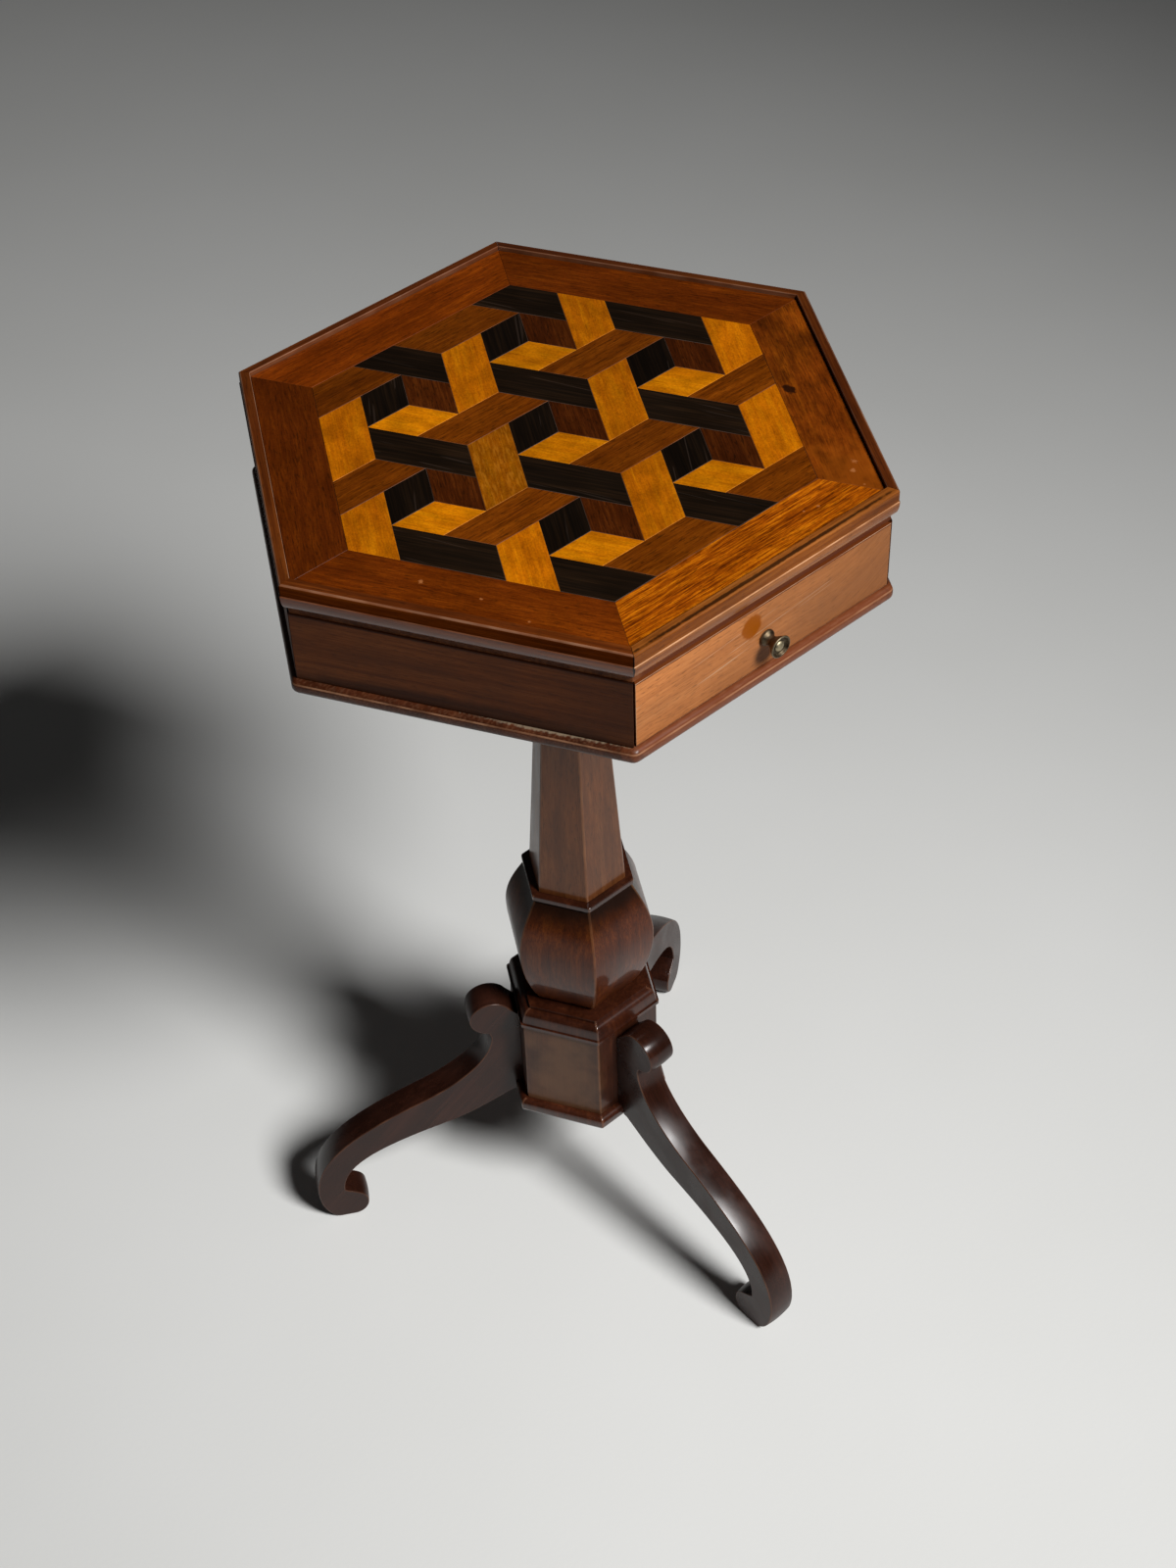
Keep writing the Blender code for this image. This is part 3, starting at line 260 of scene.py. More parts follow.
class Shader:
    """A material in the making: each call adds a node and returns its output."""

    def __init__(self, name):
        self.material = bpy.data.materials.new(name)
        self.material.use_nodes = True
        self.tree = self.material.node_tree
        self.surface = self.tree.nodes["Principled BSDF"]

    def put(self, socket, value):
        if isinstance(value, bpy.types.NodeSocket):
            self.tree.links.new(value, socket)
        else:
            socket.default_value = value

    def finish(self, **sockets):
        for name, value in sockets.items():
            self.put(self.surface.inputs[name.replace("_", " ").title().replace("Ior", "IOR")], value)
        return self.material

    def add(self, kind, inputs, output=0, **settings):
        node = self.tree.nodes.new("ShaderNode" + kind)
        for setting, value in settings.items():
            setattr(node, setting, value)
        for socket, value in inputs.items():
            self.put(node.inputs[socket], value)
        return node.outputs[output]

    def own(self, name):
        """A number that the object carries."""
        return self.add("Attribute", {}, "Fac", attribute_type="OBJECT", attribute_name=name)

    def layer(self, name):
        """A number that each face carries."""
        return self.add("Attribute", {}, "Fac", attribute_name=name)

    def maths(self, operation, first, second=0.0):
        return self.add("Math", {0: first, 1: second}, operation=operation)

    def times(self, first, second):
        return self.maths("MULTIPLY", first, second)

    def vectors(self, operation, first, second):
        return self.add("VectorMath", {0: first, 1: second}, operation=operation)

    def noise(self, where, waves, detail=2.0):
        """Noise with so many waves per metre along X and across it."""
        along, across = waves
        where = self.vectors("MULTIPLY", where, (along, across, across))
        return self.add("TexNoise", {"Vector": where, "Scale": 1.0, "Detail": detail}, "Fac")

    def between(self, value, start, end, first=0.0, last=1.0):
        ends = {"Value": value, "From Min": start, "From Max": end, "To Min": first, "To Max": last}
        return self.add("MapRange", ends, interpolation_type="SMOOTHSTEP")

    def mix(self, share, first, second, blend="MIX"):
        return self.add("Mix", {0: share, 6: first, 7: second}, 2, data_type="RGBA", blend_type=blend)

    def ramp(self, value, stops):
        output = self.add("ValToRGB", {0: value})
        points = output.node.color_ramp.elements
        while len(points) < len(stops):
            points.new(0.5)
        for point, (position, colour) in zip(points, stops):
            point.position = position
            point.color = colour
        return output

    def place(self):
        """Object coordinates turned so that X runs with the grain, and shifted by the piece's seed."""
        where = self.add("TexCoord", {}, "Object")
        level = self.add("VectorRotate", {"Vector": where, "Angle": self.own("turn")}, rotation_type="Z_AXIS")
        lain = self.add("VectorRotate", {"Vector": level, "Angle": self.own("tilt")}, rotation_type="Y_AXIS")
        return self.vectors("ADD", lain, self.own("seed"))


@dataclass
class Mark:
    """A stain, knot or fade at one place, in the table's own coordinates and metres."""
    place: tuple
    size: tuple  # half its length along X, Y and Z
    colour: tuple
    strength: float
    soft: float = 0.4  # share of its size over which it fades
    ragged: float = 0.3
    grit: float = 260.0  # waves per metre of its ragged edge


@dataclass
class Look:
    """How one wood looks: colours as on a screen, grain as (waves per metre along, across, share)."""
    dark: tuple
    middle: tuple
    light: tuple
    bands: tuple = (6, 90, 0.5)
    streaks: tuple = (9, 420, 0.4)
    fibres: tuple = (45, 1500, 0.2)
    spread: float = 0.14  # half the width of the noise that runs from dark to light
    swept: tuple = ()  # where along X the grain starts to sweep up, and how fast, per metre
    pores: float = 0.3
    clouds: tuple = (26, 40, 0.15)  # soft patches, as (waves per metre along, across, depth)
    speckle: float = 0.0  # depth of fine dots
    rough: tuple = (0.34, 0.48)
    gloss: float = 0.1  # sheen of the wood itself, below its polish
    coat: float = 0.3
    coat_rough: float = 0.15
    worn: tuple = (150, 104, 70)
    edge: float = 0.5
    scratches: float = 0.0
    face_axis: str = "Z_AXIS"  # square to the face that is scratched
    relief: float = 0.12
    marks: tuple = ()


def hairlines(shader, place, axis):
    """Straight thin scratches, broken into lengths, as a mask on faces square to an axis."""
    angle = math.radians(SCRATCH_ANGLE)
    turned = shader.add("VectorRotate", {"Vector": place, "Angle": angle}, rotation_type=axis)
    lines = shader.between(shader.noise(turned, SCRATCH_WAVES, 0.0), *SCRATCH_NOISE)
    lengths = shader.between(shader.noise(turned, LENGTH_WAVES, 1.0), *LENGTH_NOISE)
    return shader.times(lines, lengths)


def upward_sweep(shader, start, rate):
    """A shift that makes level grain curve up beyond one place along X."""
    where = shader.add("TexCoord", {}, "Object")
    beyond = shader.maths("SUBTRACT", shader.add("SeparateXYZ", {0: where}, "X"), start)
    beyond = shader.maths("MAXIMUM", beyond, 0.0)
    lift = shader.times(shader.times(beyond, beyond), -rate)
    return shader.add("CombineXYZ", {"Z": lift})


def add_mark(shader, colour, mark):
    """Lays one mark over a colour."""
    where = shader.add("TexCoord", {}, "Object")
    off = shader.vectors("SUBTRACT", where, mark.place)
    off = shader.vectors("DIVIDE", off, mark.size)
    reach = shader.add("VectorMath", {0: off}, "Value", operation="LENGTH")
    ragged = shader.noise(where, (mark.grit, mark.grit), 3.0)
    ragged = shader.times(shader.maths("SUBTRACT", ragged, 0.5), 4 * mark.ragged)
    reach = shader.maths("ADD", reach, ragged)
    share = shader.between(reach, 1 - mark.soft, 1.0, mark.strength, 0.0)
    return shader.mix(share, colour, srgb(*mark.colour))


def speck(across, along, size):
    """A small pale dent in the polish of the top."""
    return Mark((across, along, SURFACE), (size, size, 1.0), (172, 106, 58), 0.8, 0.7, 0.5, 500.0)


def bent_grain(shader, look, place):
    """Places along the grain, with its sway and its sweep."""
    sway = shader.noise(place, SWAY_WAVES, 1.0)
    stray = {0: sway, 1: (0, GRAIN_WANDER, GRAIN_WANDER), 2: place}
    bent = shader.add("VectorMath", stray, operation="MULTIPLY_ADD")
    if look.swept:
        bent = shader.vectors("ADD", bent, upward_sweep(shader, *look.swept))
    return bent


def figured(shader, look, bent):
    """Bands, streaks and fibres, from dark to light."""
    figure = None
    for *waves, share in (look.bands, look.streaks, look.fibres):
        grain = shader.times(shader.noise(bent, waves), share)
        figure = grain if figure is None else shader.maths("ADD", figure, grain)
    half = (look.bands[2] + look.streaks[2] + look.fibres[2]) / 2
    stops = [(half - look.spread, srgb(*look.dark)), (half, srgb(*look.middle)),
             (half + look.spread, srgb(*look.light))]
    return shader.ramp(figure, stops)


def toned(shader, look, place, cloud, colour):
    """A colour with soft patches, fine dots and the piece's own tone."""
    depth = look.clouds[2]
    shade = shader.between(cloud, *WIDE, 1 - depth, 1 + depth)
    if look.speckle:
        dots = shader.noise(place, DOT_WAVES)
        dots = shader.between(dots, *CALM, 1 - look.speckle, 1 + look.speckle)
        shade = shader.times(shade, dots)
    shade = shader.times(shade, shader.own("tone"))
    return shader.mix(1.0, colour, shade, "MULTIPLY")


def rubbed(shader, look, place, colour):
    """A colour with worn edges and flecks."""
    rub = shader.between(shader.noise(place, RUB_WAVES), *CALM, RUB_LEAST, 1.0)
    edge = shader.times(shader.layer("edge"), shader.times(rub, look.edge))
    colour = shader.mix(edge, colour, srgb(*look.worn))
    fleck = shader.between(shader.noise(place, FLECK_WAVES), *FLECK_NOISE)
    fleck = shader.times(fleck, shader.own("worn"))
    return shader.mix(fleck, colour, srgb(*look.worn))


def wood(name, look):
    """A polished wood: grain and pores along X, then patches, scratches, marks and wear."""
    shader = Shader(name)
    place = shader.place()
    bent = bent_grain(shader, look, place)
    colour = figured(shader, look, bent)
    pores = shader.between(shader.noise(bent, PORE_WAVES, 1.0), *PORE_NOISE)
    pores = shader.times(pores, look.pores)
    colour = shader.mix(pores, colour, srgb(*[channel * PORE_SHADE for channel in look.dark]))
    cloud = shader.noise(place, look.clouds[:2], 3.0)
    colour = toned(shader, look, place, cloud, colour)
    if look.scratches:
        lines = shader.times(hairlines(shader, place, look.face_axis), look.scratches)
        colour = shader.mix(lines, colour, srgb(*look.worn))
    for mark_here in look.marks:
        colour = add_mark(shader, colour, mark_here)
    colour = rubbed(shader, look, place, colour)

    rough = shader.between(cloud, *WIDE, *look.rough)
    polish = shader.between(cloud, *CALM, *[share * look.coat_rough for share in POLISH_RANGE])
    height = shader.maths("SUBTRACT", shader.noise(bent, FIBRE_WAVES), pores)
    swell = shader.noise(place, SWELL_WAVES, 1.0)
    height = shader.maths("ADD", height, shader.times(swell, SWELL_HEIGHT))
    bump = shader.add("Bump", {"Height": height, "Strength": look.relief, "Distance": RELIEF_DEPTH})
    return shader.finish(base_color=colour, roughness=rough, normal=bump, specular_ior_level=look.gloss,
                         coat_weight=look.coat, coat_roughness=polish)


EBONY = wood("ebony_polished", Look(
    (13, 8, 4), (22, 13, 6), (38, 24, 12), bands=(10, 150, 0.2), streaks=(18, 620, 0.4), pores=0.0,
    worn=(112, 92, 80), scratches=0.1))
PLAIN_WALNUT = Look(
    (76, 31, 0), (101, 46, 1), (126, 63, 5), bands=(9, 120, 0.25), streaks=(22, 520, 0.3),
    fibres=(80, 1200, 0.3), pores=0.55, worn=(128, 92, 66), edge=0.35, clouds=(60, 90, 0.14), speckle=0.08)
WALNUT = wood("walnut_polished", PLAIN_WALNUT)
WALNUT_DARK = wood("walnut_dark_polished", replace(
    PLAIN_WALNUT, dark=(44, 15, 1), middle=(62, 24, 2), light=(86, 40, 7), worn=(128, 96, 78), edge=0.4))
PLAIN_SATINWOOD = Look(
    (158, 82, 0), (181, 103, 0), (203, 127, 4), bands=(14, 130, 0.25), streaks=(40, 420, 0.25), pores=0.2,
    clouds=(70, 110, 0.2), speckle=0.14, worn=(200, 128, 32), edge=0.25)
SATINWOOD = wood("satinwood_polished", PLAIN_SATINWOOD)
SATINWOOD_WARM = wood("satinwood_warm_polished", replace(
    PLAIN_SATINWOOD, dark=(154, 76, 0), middle=(178, 96, 0), light=(200, 119, 3)))
BORDER = wood("border_red_polished", Look(
    (72, 25, 0), (95, 38, 1), (120, 54, 3), bands=(5, 60, 0.25), streaks=(26, 420, 0.25),
    fibres=(90, 1100, 0.3), pores=0.45, clouds=(26, 50, 0.18), speckle=0.1, worn=(128, 80, 48), edge=0.15,
    marks=(speck(-0.1462, -0.0332, 0.0018), speck(-0.1315, -0.0675, 0.0013),
           speck(-0.1248, -0.1004, 0.0012))))
BORDER_GOLD = wood("border_gold_polished", Look(
    (92, 35, 0), (150, 71, 1), (196, 110, 8), bands=(5, 60, 0.2), streaks=(26, 560, 0.35),
    fibres=(80, 1200, 0.4), spread=0.11, pores=0.55, clouds=(24, 60, 0.16), speckle=0.12,
    worn=(150, 100, 56), edge=0.25,
    marks=(speck(0.0615, -0.1383, 0.0013), speck(0.0522, -0.1362, 0.001))))
BORDER_SMOKY = wood("border_smoky_polished", Look(
    (78, 29, 0), (108, 47, 3), (138, 68, 6), bands=(6, 60, 0.35), streaks=(22, 380, 0.25),
    fibres=(80, 1100, 0.3), pores=0.4, clouds=(40, 60, 0.5), speckle=0.1, worn=(140, 90, 54), edge=0.25,
    marks=(Mark((0.1287, -0.0472, SURFACE), (0.004, 0.0058, 1.0), (34, 12, 3), 0.95),
           Mark((0.1, -0.133, SURFACE), (0.034, 0.05, 1.0), (144, 71, 10), 0.62, 0.9, 0.4, 110.0),
           speck(0.1059, -0.1236, 0.0022), speck(0.0996, -0.1289, 0.0019), speck(0.095, -0.1425, 0.001))))
OPEN_MITRE = Mark((*MITRE, SURFACE - ARRIS_DROP / 2), (0.0012, 0.0012, 0.012), (10, 5, 3), 0.9, 0.3, 0.1)
PLAIN_MOULDING = Look(
    (66, 26, 3), (92, 40, 6), (120, 60, 16), bands=(5, 90, 0.3), worn=(190, 146, 116), coat=0.9,
    coat_rough=0.18, edge=0.6, marks=(OPEN_MITRE,))
GOLD_MOULDING = replace(
    PLAIN_MOULDING, dark=(100, 50, 13), middle=(130, 71, 22), light=(157, 95, 40), worn=(222, 172, 130),
    coat=0.4,
    marks=(Mark((0.0, AXIS.y - LIP_APOTHEM - LIP_CRACK, SURFACE), (0.14, 0.0015, 1.0), (30, 12, 3), 0.85,
                0.45, 0.2),
           OPEN_MITRE))
MOULDING = wood("moulding_polished", PLAIN_MOULDING)
# Painted shade: the upright face of the moulding gets an unpolished, darker copy of its wood.
MOULDING_DULL_SHADED = wood("moulding_fascia_painted_shade", replace(
    PLAIN_MOULDING, dark=(54, 20, 2), middle=(76, 31, 4), light=(98, 46, 9), coat=0.0, gloss=0.0))
MOULDING_GOLD = wood("moulding_front_polished", GOLD_MOULDING)
MOULDING_GOLD_DULL_SHADED = wood("moulding_front_fascia_painted_shade", replace(
    GOLD_MOULDING, dark=(88, 42, 8), middle=(116, 60, 16), light=(142, 82, 30), coat=0.0,
    marks=(OPEN_MITRE,)))
CASE = wood("case_polished", Look(
    (60, 27, 9), (82, 41, 15), (104, 57, 25), bands=(3, 60, 0.3), streaks=(5, 300, 0.3), coat=0.0,
    # Painted shade: the left front side is darkened towards its corner by the drawer.
    marks=(Mark((-0.09, -0.148, FRONT_MIDDLE), (0.05, 0.06, 1.0), (24, 12, 6), 0.3, 1.0, 0.05, 40.0),
           Mark((-0.154, -0.0717, FRONT_LOW), (0.11, 0.15, 0.0115), (28, 9, 3), 0.7, 0.5, 0.1, 60.0),
           # Painted shade: a dark line along the top of the sides, under the moulding's overhang.
           Mark((0.0, AXIS.y, high("case_side_back").z), (1.0, 1.0, 0.0012), (34, 14, 6), 0.9, 0.4, 0.1))))
FRONT = wood("drawer_front_polished", Look(
    (164, 98, 52), (196, 122, 66), (216, 141, 81), bands=(3, 70, 0.28), streaks=(8, 420, 0.3),
    fibres=(40, 1100, 0.35), pores=0.45, worn=(232, 196, 160), coat=0.06, rough=(0.42, 0.55), scratches=0.6,
    face_axis="Y_AXIS", clouds=(18, 60, 0.1), swept=(0.042, 5.8),
    marks=(Mark((0.11, FRONT_FACE, FRONT_MIDDLE), (0.24, 1.0, 1.0), (122, 76, 43), 0.76, 1.0, 0.08, 60.0),
           Mark((0.0, FRONT_FACE, FRONT_LOW), (1.0, 1.0, 0.05), (118, 72, 40), 0.42, 1.0, 0.08, 60.0),
           # Painted shade: the top edge of the front is darkened like the shadow gap under the top board.
           Mark((0.0, FRONT_FACE, FRONT_TOP), (1.0, 1.0, 0.0018), (92, 38, 8), 0.9, 0.5, 0.12),
           Mark((AMBER_ACROSS, FRONT_FACE, AMBER_UP), (0.0088, 1.0, 0.0094), (142, 72, 3), 0.97, 0.25, 0.1),
           Mark((0.0, FRONT_FACE, FRONT_LOW), (1.0, 1.0, 0.0011), (72, 35, 16), 0.8, 0.5, 0.2))))
SHAFT = wood("shaft_polished", Look(
    (70, 36, 15), (91, 50, 22), (113, 69, 36), bands=(3, 90, 0.25), streaks=(8, 420, 0.2), pores=0.35,
    coat=0.58, coat_rough=0.14, edge=0.3, clouds=(20, 60, 0.22)))
BULB = wood("bulb_polished", Look(
    (45, 16, 4), (71, 30, 7), (102, 51, 14), bands=(4, 80, 0.3), streaks=(8, 420, 0.25), pores=0.4,
    coat=0.42, coat_rough=0.08, edge=0.25, clouds=(20, 60, 0.18),
    marks=(Mark((0.0, AXIS.y, high("bulb").z), (1.0, 1.0, 0.026), (20, 7, 2), 0.95, 0.9, 0.1, 60.0),)))
BASE = wood("base_polished", Look(
    (38, 17, 9), (53, 26, 15), (71, 38, 23), bands=(4, 60, 0.25), streaks=(8, 420, 0.3),
    coat=0.33, coat_rough=0.18, edge=0.25, clouds=(30, 30, 0.35),
    # Painted reflection: a pale sheen laid over the middle of the block's left front face.
    marks=(Mark((-2 * BLOCK_APOTHEM * COS30, AXIS.y - BLOCK_APOTHEM, BLOCK_MIDDLE),
                (BLOCK_SHEEN_REACH, BLOCK_SHEEN_REACH, 1.0), (118, 82, 54), 0.52, 0.3, 0.1, 50.0),)))
TRIM = wood("trim_polished", Look(
    (37, 14, 6), (52, 22, 10), (74, 37, 19), bands=(4, 60, 0.25), streaks=(8, 420, 0.3),
    worn=(150, 104, 78), coat=0.8, coat_rough=0.14, edge=0.3, clouds=(40, 40, 0.3)))
LEG = wood("leg_polished", Look(
    (31, 14, 8), (43, 20, 12), (62, 32, 21), bands=(5, 70, 0.25), streaks=(6, 420, 0.2), pores=0.12,
    worn=(124, 84, 62), coat=0.65, coat_rough=0.26, gloss=0.0, edge=0.35, relief=0.35))
LIP = wood("bottom_board_polished", Look(
    (46, 20, 9), (66, 30, 13), (88, 46, 24), bands=(6, 60, 0.25), streaks=(9, 300, 0.25),
    worn=(190, 142, 108), coat=0.35, coat_rough=0.24, edge=0.45,
    marks=(Mark((0.0, FRONT_FACE, FRONT_LOW), (0.13, 0.012, 1.0), (116, 61, 33), 0.8, 0.3, 0.1),
           Mark((*DUSTY_LEDGE, FRONT_LOW), (0.045, 0.075, 0.0014), (126, 110, 90), 0.85, 0.5, 0.3,
                420.0))))
# Painted light: the top board's edge is paler than the case so that it looks lit in the moulding's shadow;
# its mark darkens the lit front back to a deep red.
NECK = wood("top_board_edge", Look(
    (84, 42, 18), (110, 60, 28), (134, 78, 40), coat=0.0,
    marks=(Mark((0.0, FRONT_FACE, SURFACE), (0.11, 0.012, 1.0), (84, 34, 6), 0.9, 0.2, 0.05),)))
PINE = wood("pine_bare", Look(
    (150, 112, 66), (182, 144, 94), (206, 172, 124), bands=(2, 70, 0.6), streaks=(4, 240, 0.3), pores=0.1,
    rough=(0.66, 0.82), gloss=0.3, coat=0.0, relief=0.3))


def metal(name, dark, bright):
    """An aged metal: dark in its hollows, rubbed bright where the rub layer is set."""
    shader = Shader(name)
    where = shader.add("TexCoord", {}, "Object")
    stain = shader.noise(where, METAL_STAINS, 4.0)
    patch = shader.noise(where, METAL_GRAIN)
    rub = shader.between(stain, *WIDE, *METAL_RUB)
    rub = shader.maths("ADD", rub, shader.times(shader.layer("rub"), METAL_RAISED))
    colour = shader.mix(rub, srgb(*dark), srgb(*bright))
    bump = shader.add("Bump", {"Height": patch, "Strength": 0.05, "Distance": METAL_RELIEF})
    rough = shader.between(stain, *CALM, *METAL_ROUGH)
    return shader.finish(base_color=colour, roughness=rough, normal=bump, metallic=1.0)


BRASS = metal("brass_aged", (58, 40, 28), (186, 172, 140))
STEEL = metal("steel_dark", (40, 36, 33), (110, 104, 98))


def new_shape():
    bm = bmesh.new()
    for layer in ("edge", "rub"):
        bm.faces.layers.float.new(layer)
    return bm


def mark(bm, faces, layer, amount=1.0):
    layer = bm.faces.layers.float[layer]
    for face in faces:
        face[layer] = amount


def soften(bm, edges, width, segments=2):
    """Eases edges and marks the new faces as rubbed."""
    made = bmesh.ops.bevel(bm, geom=edges, offset=width, segments=segments, profile=0.5, affect="EDGES")
    mark(bm, made["faces"], "edge")


def add_object(name, data):
    item = bpy.data.objects.new(name, data)
    bpy.context.scene.collection.objects.link(item)
    return item


def finish_mesh(name, bm, material):
    mesh = bpy.data.meshes.new(name)
    bm.to_mesh(mesh)
    bm.free()
    mesh.materials.append(material)
    return mesh


def add_piece(name, bm, material, nodes, slot, body="table", sharp=32, **grain):
    """A piece drawn about the column's axis, moved to its place; grain is what dress() takes."""
    bmesh.ops.recalc_face_normals(bm, faces=bm.faces)
    bm.transform(Matrix.Translation(AXIS))
    mesh = finish_mesh(name, bm, material)
    mesh.shade_smooth()
    mesh.set_sharp_from_angle(angle=math.radians(sharp))
    piece = add_object(name, mesh)
    dress(piece, **grain)
    normals = piece.modifiers.new("flat_faces_stay_flat", "WEIGHTED_NORMAL")
    normals.keep_sharp = True
    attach(piece, body)
    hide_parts(*nodes)
    return piece


def dress(piece, seed=0.0, tone=1.0, worn=0.0, turn=0.0, tilt=0.0):
    """The numbers that a wood reads from its piece; turn and tilt, in degrees, bring its grain to X."""
    piece["seed"] = float(seed)
    piece["tone"] = float(tone)
    piece["worn"] = float(worn)
    piece["turn"] = math.radians(turn)
    piece["tilt"] = math.radians(tilt)


def arc(centre, radius, start, end, count):
    """Points on an arc, with angles in degrees."""
    angles = [math.radians(start + (end - start) * i / (count - 1)) for i in range(count)]
    return [(centre[0] + radius * math.cos(a), centre[1] + radius * math.sin(a)) for a in angles]


def rounded_edge(out, bottom, top, ease, count):
    """A board's edge from below, rounded at both brinks."""
    lower = arc((out - ease, bottom + ease), ease, -90, 0, count)
    return lower + arc((out - ease, top - ease), ease, 0, 90, count)


def sweep(start, start_handle, end_handle, end, count=CURVE_POINTS):
    """Points along one curve between two handles, without its last point."""
    ends = [Vector(point) for point in (start, start_handle, end_handle, end)]
    return [tuple(point) for point in interpolate_bezier(*ends, count)][:-1]


def mitred(section, gap):
    """A length on the -Y side, mitred at the corners; the section is (apothem, height) points."""
    reach = max(apothem for apothem, _ in section) * TAN30 + gap
    bm = new_shape()
    loop = [bm.verts.new((-reach, -apothem, height)) for apothem, height in section]
    face = bm.faces.new(loop)
    swept = bmesh.ops.extrude_face_region(bm, geom=[face])["geom"]
    moved = [item for item in swept if isinstance(item, bmesh.types.BMVert)]
    bmesh.ops.translate(bm, verts=moved, vec=(2 * reach, 0, 0))
    for side in (1, -1):
        across = Vector((side * COS30, 0.5, 0))
        bmesh.ops.bisect_plane(
            bm, geom=bm.verts[:] + bm.edges[:] + bm.faces[:], dist=TOUCHING,
            plane_co=-across * gap / 2, plane_no=across, clear_outer=True)
        bmesh.ops.holes_fill(bm, edges=[edge for edge in bm.edges if edge.is_boundary])
    return bm


def faceted(profile, ease, count=3):
    """A six-sided form from (corner radius, height) points, bottom up, with eased upright corners."""
    bm = new_shape()
    rings = []
    for radius, height in profile:
        eased = min(ease, radius / 5)
        ring = []
        for corner in range(SIDES):
            out = math.radians(60 * corner)
            for step in range(count):
                facing = out + math.radians(-30 + 60 * step / (count - 1))
                middle = radius - 2 * eased
                x = middle * math.cos(out) + eased / TAN30 * math.cos(facing)
                y = middle * math.sin(out) + eased / TAN30 * math.sin(facing)
                ring.append(bm.verts.new((x, y, height)))
        rings.append(ring)
    total = SIDES * count
    corners = []
    for below, above in zip(rings, rings[1:]):
        for i in range(total):
            j = (i + 1) % total
            face = bm.faces.new((below[i], below[j], above[j], above[i]))
            if i % count != count - 1:
                corners.append(face)
    mark(bm, corners, "edge")
    bm.faces.new(rings[0][::-1])
    bm.faces.new(rings[-1])
    return bm


# Parquetry: three rhombs make a cube, and three bars interlace between the cubes

ALONG_U = Vector((math.cos(math.radians(-60)), math.sin(math.radians(-60)))) * RHOMB_SIDE
ALONG_V = Vector((1.0, 0.0)) * RHOMB_SIDE
ALONG_W = ALONG_V - ALONG_U

# Middle of the one bar whose polish is rubbed through, from the column's axis
WORN_BAR = Vector((-0.04, 0.006))
WORN_TONE = 0.56
WORN_SHARE = 0.3

# Wood, record slot, grain, tone and corners in steps along U and V from the middle of the cube
MOTIF = (
    (EBONY, "ebony", ALONG_W, 0.64, ((0, 0), (-1, 1), (-1, 0), (0, -1))),
    (WALNUT_DARK, "walnut", ALONG_W, 1.06, ((0, 0), (-1, 1), (0, 1), (1, 0))),
    (SATINWOOD, "satinwood", ALONG_U, 1.12, ((0, 0), (1, 0), (1, -1), (0, -1))),
    (EBONY, "ebony", ALONG_U, 1.12, ((0, -1), (1, -1), (2, -1), (3, -2), (2, -2), (1, -2))),
    (WALNUT, "walnut", ALONG_V, 1.11, ((1, -1), (2, -1), (2, 0), (2, 1), (1, 1), (1, 0))),
    (SATINWOOD_WARM, "satinwood", ALONG_W, 0.98, ((1, 0), (1, 1), (0, 2), (-1, 3), (-1, 2), (0, 1))),
)


def clip(polygon, normal, limit):
    """The part of a convex polygon on the inner side of a straight line, or nothing."""
    near = RHOMB_SIDE / 1000
    depths = [point.dot(normal) - limit for point in polygon]
    if min(depths) > -near:
        return []
    kept = []
    for here, depth, after, depth_after in zip(
            polygon, depths, polygon[1:] + polygon[:1], depths[1:] + depths[:1]):
        if depth < near:
            kept.append(here)
        if min(depth, depth_after) < -near and max(depth, depth_after) > near:
            kept.append(here.lerp(after, depth / (depth - depth_after)))
    return kept


def motif_pieces(across, up):
    """The veneers of one motif that fall inside the field."""
    middle = (ALONG_U * across + ALONG_V * up) * MOTIF_STEP
    pieces = []
    for wood_name, slot, grain, tone, corners in MOTIF:
        polygon = [middle + ALONG_U * i + ALONG_V * j for i, j in corners]
        for side in range(SIDES):
            facing = math.radians(30 + 60 * side)
            if polygon:
                polygon = clip(polygon, Vector((math.cos(facing), math.sin(facing))), FIELD_APOTHEM)
        if polygon:
            pieces.append((wood_name, slot, grain, tone, polygon))
    return pieces


def veneer_shape(polygon):
    """One veneer, cut a hair small and eased round its top."""
    bm = new_shape()
    face = bm.faces.new([bm.verts.new((point.x, point.y, SURFACE)) for point in polygon])
    rim = bmesh.ops.inset_individual(bm, faces=[face], thickness=VENEER_GAP / 2, use_even_offset=True)
    bmesh.ops.delete(bm, geom=rim["faces"], context="FACES")
    top_edges = bm.edges[:]
    lowered = bmesh.ops.extrude_face_region(bm, geom=[face], use_keep_orig=True)["geom"]
    verts = [item for item in lowered if isinstance(item, bmesh.types.BMVert)]
    bmesh.ops.translate(bm, verts=verts, vec=(0, 0, VENEER_BOTTOM - SURFACE))
    soften(bm, top_edges, VENEER_ARRIS, 1)
    return bm


def add_veneer(name, node, piece, index):
    material, slot, grain, tone, polygon = piece
    turn = -math.degrees(math.atan2(grain.y, grain.x))
    middle = sum(polygon, Vector((0, 0))) / len(polygon)
    tone = tone * vary(index, VENEER_VARIETY)
    worn = 0.0
    if (middle - WORN_BAR).length < RHOMB_SIDE / 2:
        tone = WORN_TONE
        worn = WORN_SHARE
    add_piece(name, veneer_shape(polygon), material, [node], slot, seed=0.37 * index, tone=tone,
              turn=turn, worn=worn)


